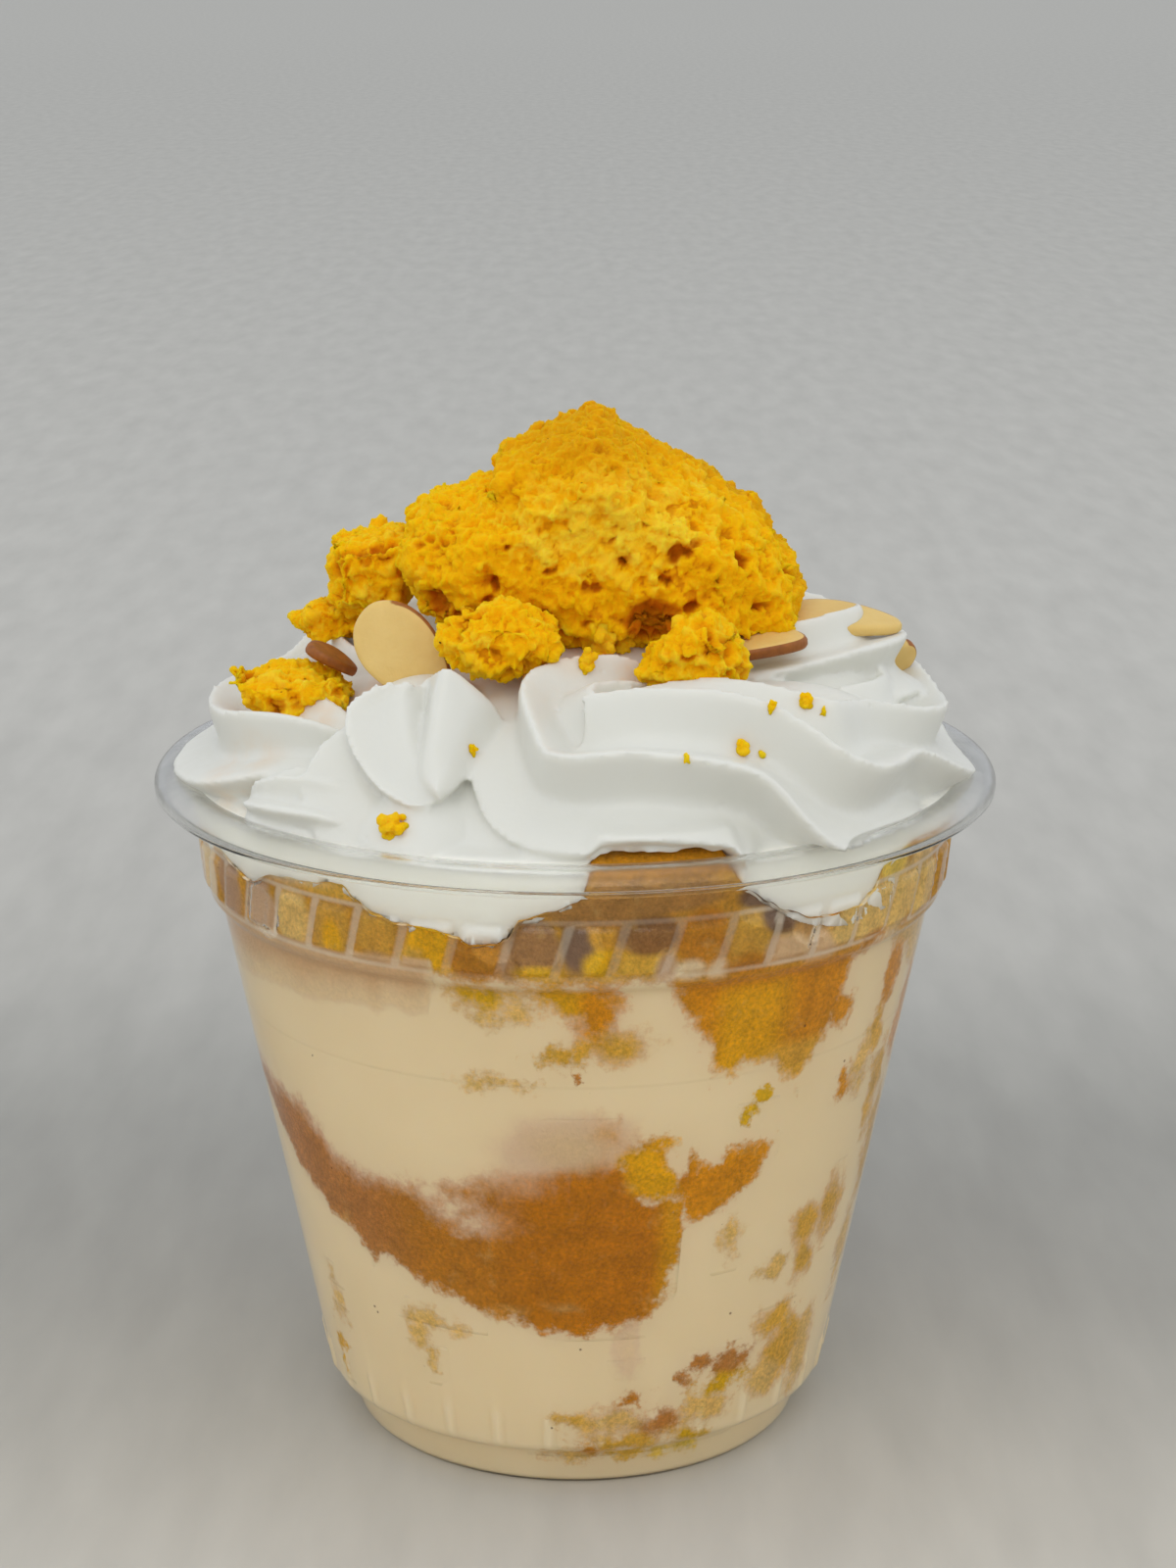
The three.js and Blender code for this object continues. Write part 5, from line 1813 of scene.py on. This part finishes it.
# Crust, and painted shade on the big piece's top.
crust_and_shade_share = map_range(tree, patchy, 0.3, 0.5, 0.5, 1.0)
crust_and_shade_share = math_node(tree, "MULTIPLY", attribute_node(tree, "crust_and_shade"), crust_and_shade_share)
dot = map_range(tree, scattered_spots(tree, place, 520), 0.1, 0.05)
dot = math_node(tree, "MULTIPLY", dot, map_range(tree, noise_texture(tree, place, 900, 1), 0.62, 0.66))
sponge_tone = colour_mix(tree, pale_share, CRUMB_YELLOW, CRUMB_PALE)
for share, tone in ((pore_shade_share, PORE_SHADE), (crust_and_shade_share, CRUST_AND_SHADE_BROWN), (dot, SPICE)):
    sponge_tone = colour_mix(tree, share, sponge_tone, tone)
tree.links.new(sponge_tone, shader.inputs["Base Color"])
roughen(tree, shader, noise_texture(tree, place, 2300, 4, 0.7), 0.7, 0.0004)
shader.inputs["Roughness"].default_value = 0.8
shader.inputs["Specular IOR Level"].default_value = 0.1
soft_inside(shader, 0.6, (1.0, 0.55, 0.08), 0.002)
for name, piece in torn.items():
    shade(piece)
    finish_piece(piece, dry_look, "dry_sponge", name)
print("dry sponge is on", len(torn), "pieces")

# %% [markdown]
# Sliced almonds are thin ovals, narrower at one end and bowed a little. Each is a loft from its front
# face to its back one. The brown skin runs round part of the edge, and the vertices there are marked.

# %% Almond slices
# Length, width, thickness, place in millimetres, turn in degrees about X, Y and Z, the side that keeps
# its brown skin, how much of the rim that skin covers, and whether the faces are skin too.
ALMONDS = {
    "almond_standing": (13.4, 7.8, 1.3, (-17.5, -13.6, 89.2), (-12, 50, 0), (0.8, 0, 0.6), 0.45, 0),
    "almond_edge": (10, 7, 1.3, (19.6, -10.5, 90), (-80, 0, -6), (0, -1, 0), -0.5, 0),
    "almond_right": (14.4, 7.6, 1.3, (28.4, 0, 90.2), (-78, 0, 3), (0, 1, 0.5), 0.4, 0),
    "almond_left": (6, 4, 1.1, (-25.8, -8.6, 88), (-84, 0, 30), (0, -1, 0), -2, 0.7),
    "almond_left_inner": (5, 3.4, 1, (-20.4, -12, 87.2), (-86, 0, 54), (0, -1, 0), -2, 0.6),
    "almond_front": (7.5, 4, 1, (-1.8, -18.8, 88.4), (-60, -24, 8), (0, 0, 1), 0.5, 0.45),
    "almond_back": (5, 4, 1.2, (35.8, 5, 85), (-20, 60, 60), (1, 0, 0), 0.3, 0),
}
ALMOND_POINTS = 64
# From the front face to the back one: (share of the outline, share of the half thickness, skin).
ALMOND_RINGS = [
    (0.25, -1, 0), (0.5, -1, 0), (0.75, -1, 0), (0.88, -0.98, 0), (0.965, -0.85, 1), (1, -0.4, 1),
    (1, 0.4, 1), (0.965, 0.85, 1), (0.88, 0.98, 0), (0.75, 1, 0), (0.5, 1, 0), (0.25, 1, 0),
]


def almond_slice(name, long, wide, thick, place, turn, skin_side, skin_from, face_skin, seed):
    turns = [Matrix.Rotation(math.radians(angle), 4, axis) for angle, axis in zip(turn, "XYZ")]
    turned = turns[0] @ turns[1] @ turns[2]
    rings, skin_values = [], []
    bow = 0.05 * long
    for share, level, skin in ALMOND_RINGS:
        ring = []
        for k in range(ALMOND_POINTS):
            angle = -math.tau * k / ALMOND_POINTS
            taper = 1 - 0.28 * math.cos(angle)
            on_circle = Vector((math.cos(angle) * 1.5, math.sin(angle) * 1.5, seed))
            wobble = 1 + 0.035 * noise.noise(on_circle)
            x = share * wobble * long / 2 * math.cos(angle)
            z = share * wobble * wide / 2 * math.sin(angle) * taper
            y = level * thick / 2 + bow * ((2 * x / long) ** 2 - 0.5)
            ring.append(Vector((x, y, z)) * MM)
            rim_side = turned @ Vector((math.cos(angle), 0, math.sin(angle)))
            toward = rim_side.dot(Vector(skin_side).normalized())
            rim_skin = skin * smooth_step(toward, skin_from - 0.15, skin_from + 0.15)
            skin_values.append(max(rim_skin, face_skin))
        rings.append(ring)
    piece = loft(name, rings)
    skin_values += [face_skin, face_skin]
    store_values(piece, "skin", skin_values)
    piece.data.transform(Matrix.Translation(Vector(place) * MM) @ turned)
    make_active(piece)
    bpy.ops.object.mode_set(mode="EDIT")
    face_outwards()
    shade(piece)
    return piece


print("points in a slice:", ALMOND_POINTS * len(ALMOND_RINGS) + 2)

# %% [markdown]
# Flesh and skin share one look. The flesh is a pale mottled ivory and the skin a streaked brown, and
# the marks on the rim choose between them.

# %% Almond look
almond_look, tree, shader = new_look("almond")
place = object_place(tree)
flesh = colour_mix(tree, noise_texture(tree, place, 320, 3), linear(228, 198, 124), linear(212, 176, 98))
streak = noise_texture(tree, place, 900, 3, 0.6)
skin_tone = colour_mix(tree, streak, linear(84, 38, 6), linear(184, 112, 34))
skin_share = map_range(tree, attribute_node(tree, "skin"), 0.35, 0.75)
tree.links.new(colour_mix(tree, skin_share, flesh, skin_tone), shader.inputs["Base Color"])
roughen(tree, shader, streak, 0.35, 0.0003)
shader.inputs["Roughness"].default_value = 0.5
shader.inputs["Specular IOR Level"].default_value = 0.4
soft_inside(shader, 0.3, (1.0, 0.75, 0.4), 0.001)
for i, (name, shape) in enumerate(ALMONDS.items()):
    finish_piece(almond_slice(name.replace("almond", "slice"), *shape, i), almond_look, "almond", name)
print("almond slices:", len(ALMONDS))

# %% [markdown]
# A few loose crumbs stick to the cream. They are grainy clusters of the same small balls, one piece
# in all, since they are all of one kind.

# %% Loose crumbs
# Each crumb: x, z and radius in millimetres. It is moved back until it rests on cream or sponge.
LOOSE_CRUMBS = [
    (-17.8, 77.2, 1.25), (-10.1, 83.3, 0.5), (16.7, 84.2, 0.85), (23.4, 87.2, 0.75), (11.0, 85.0, 0.4),
    (18.6, 83.6, 0.4), (25.2, 86.4, 0.35), (3, 90.9, 1.6), (1.2, 89.8, 1), (5, 90, 1), (19.6, 88.4, 0.5),
]
IN_FRONT = -60
BACKWARDS = Vector((0, 1, 0))
BALLS_PER_CRUMB = 26
CRUMB_VOXEL = 0.1
rng = random.Random(77)
crumb_spots = []
for x, z, radius in LOOSE_CRUMBS:
    start = Vector((x, IN_FRONT, z)) * MM
    hits = [piece.ray_cast(start, BACKWARDS) for piece in (cream, *torn.values())]
    y = min(hit[1].y for hit in hits if hit[0]) / MM - 0.4 * radius
    for k in range(BALLS_PER_CRUMB):
        offset = Vector([rng.gauss(0, share) for share in (0.34, 0.3, 0.55)]) * radius
        crumb_spots.append(((Vector((x, y, z)) + offset) * MM, radius * rng.uniform(0.35, 0.6) * MM))
loose = strew("loose_crumbs", crumb_spots, rng)
remesh(loose, CRUMB_VOXEL)
for layer_name, value in (("crust_and_shade", NO_CRUST), ("pale", SOME_PALE), ("pore_shade", 0.0), ("grain", 0.6)):
    store_values(loose, layer_name, value)
shade(loose)
finish_piece(loose, dry_look, "dry_sponge")
print("loose crumb faces:", len(loose.data.polygons))
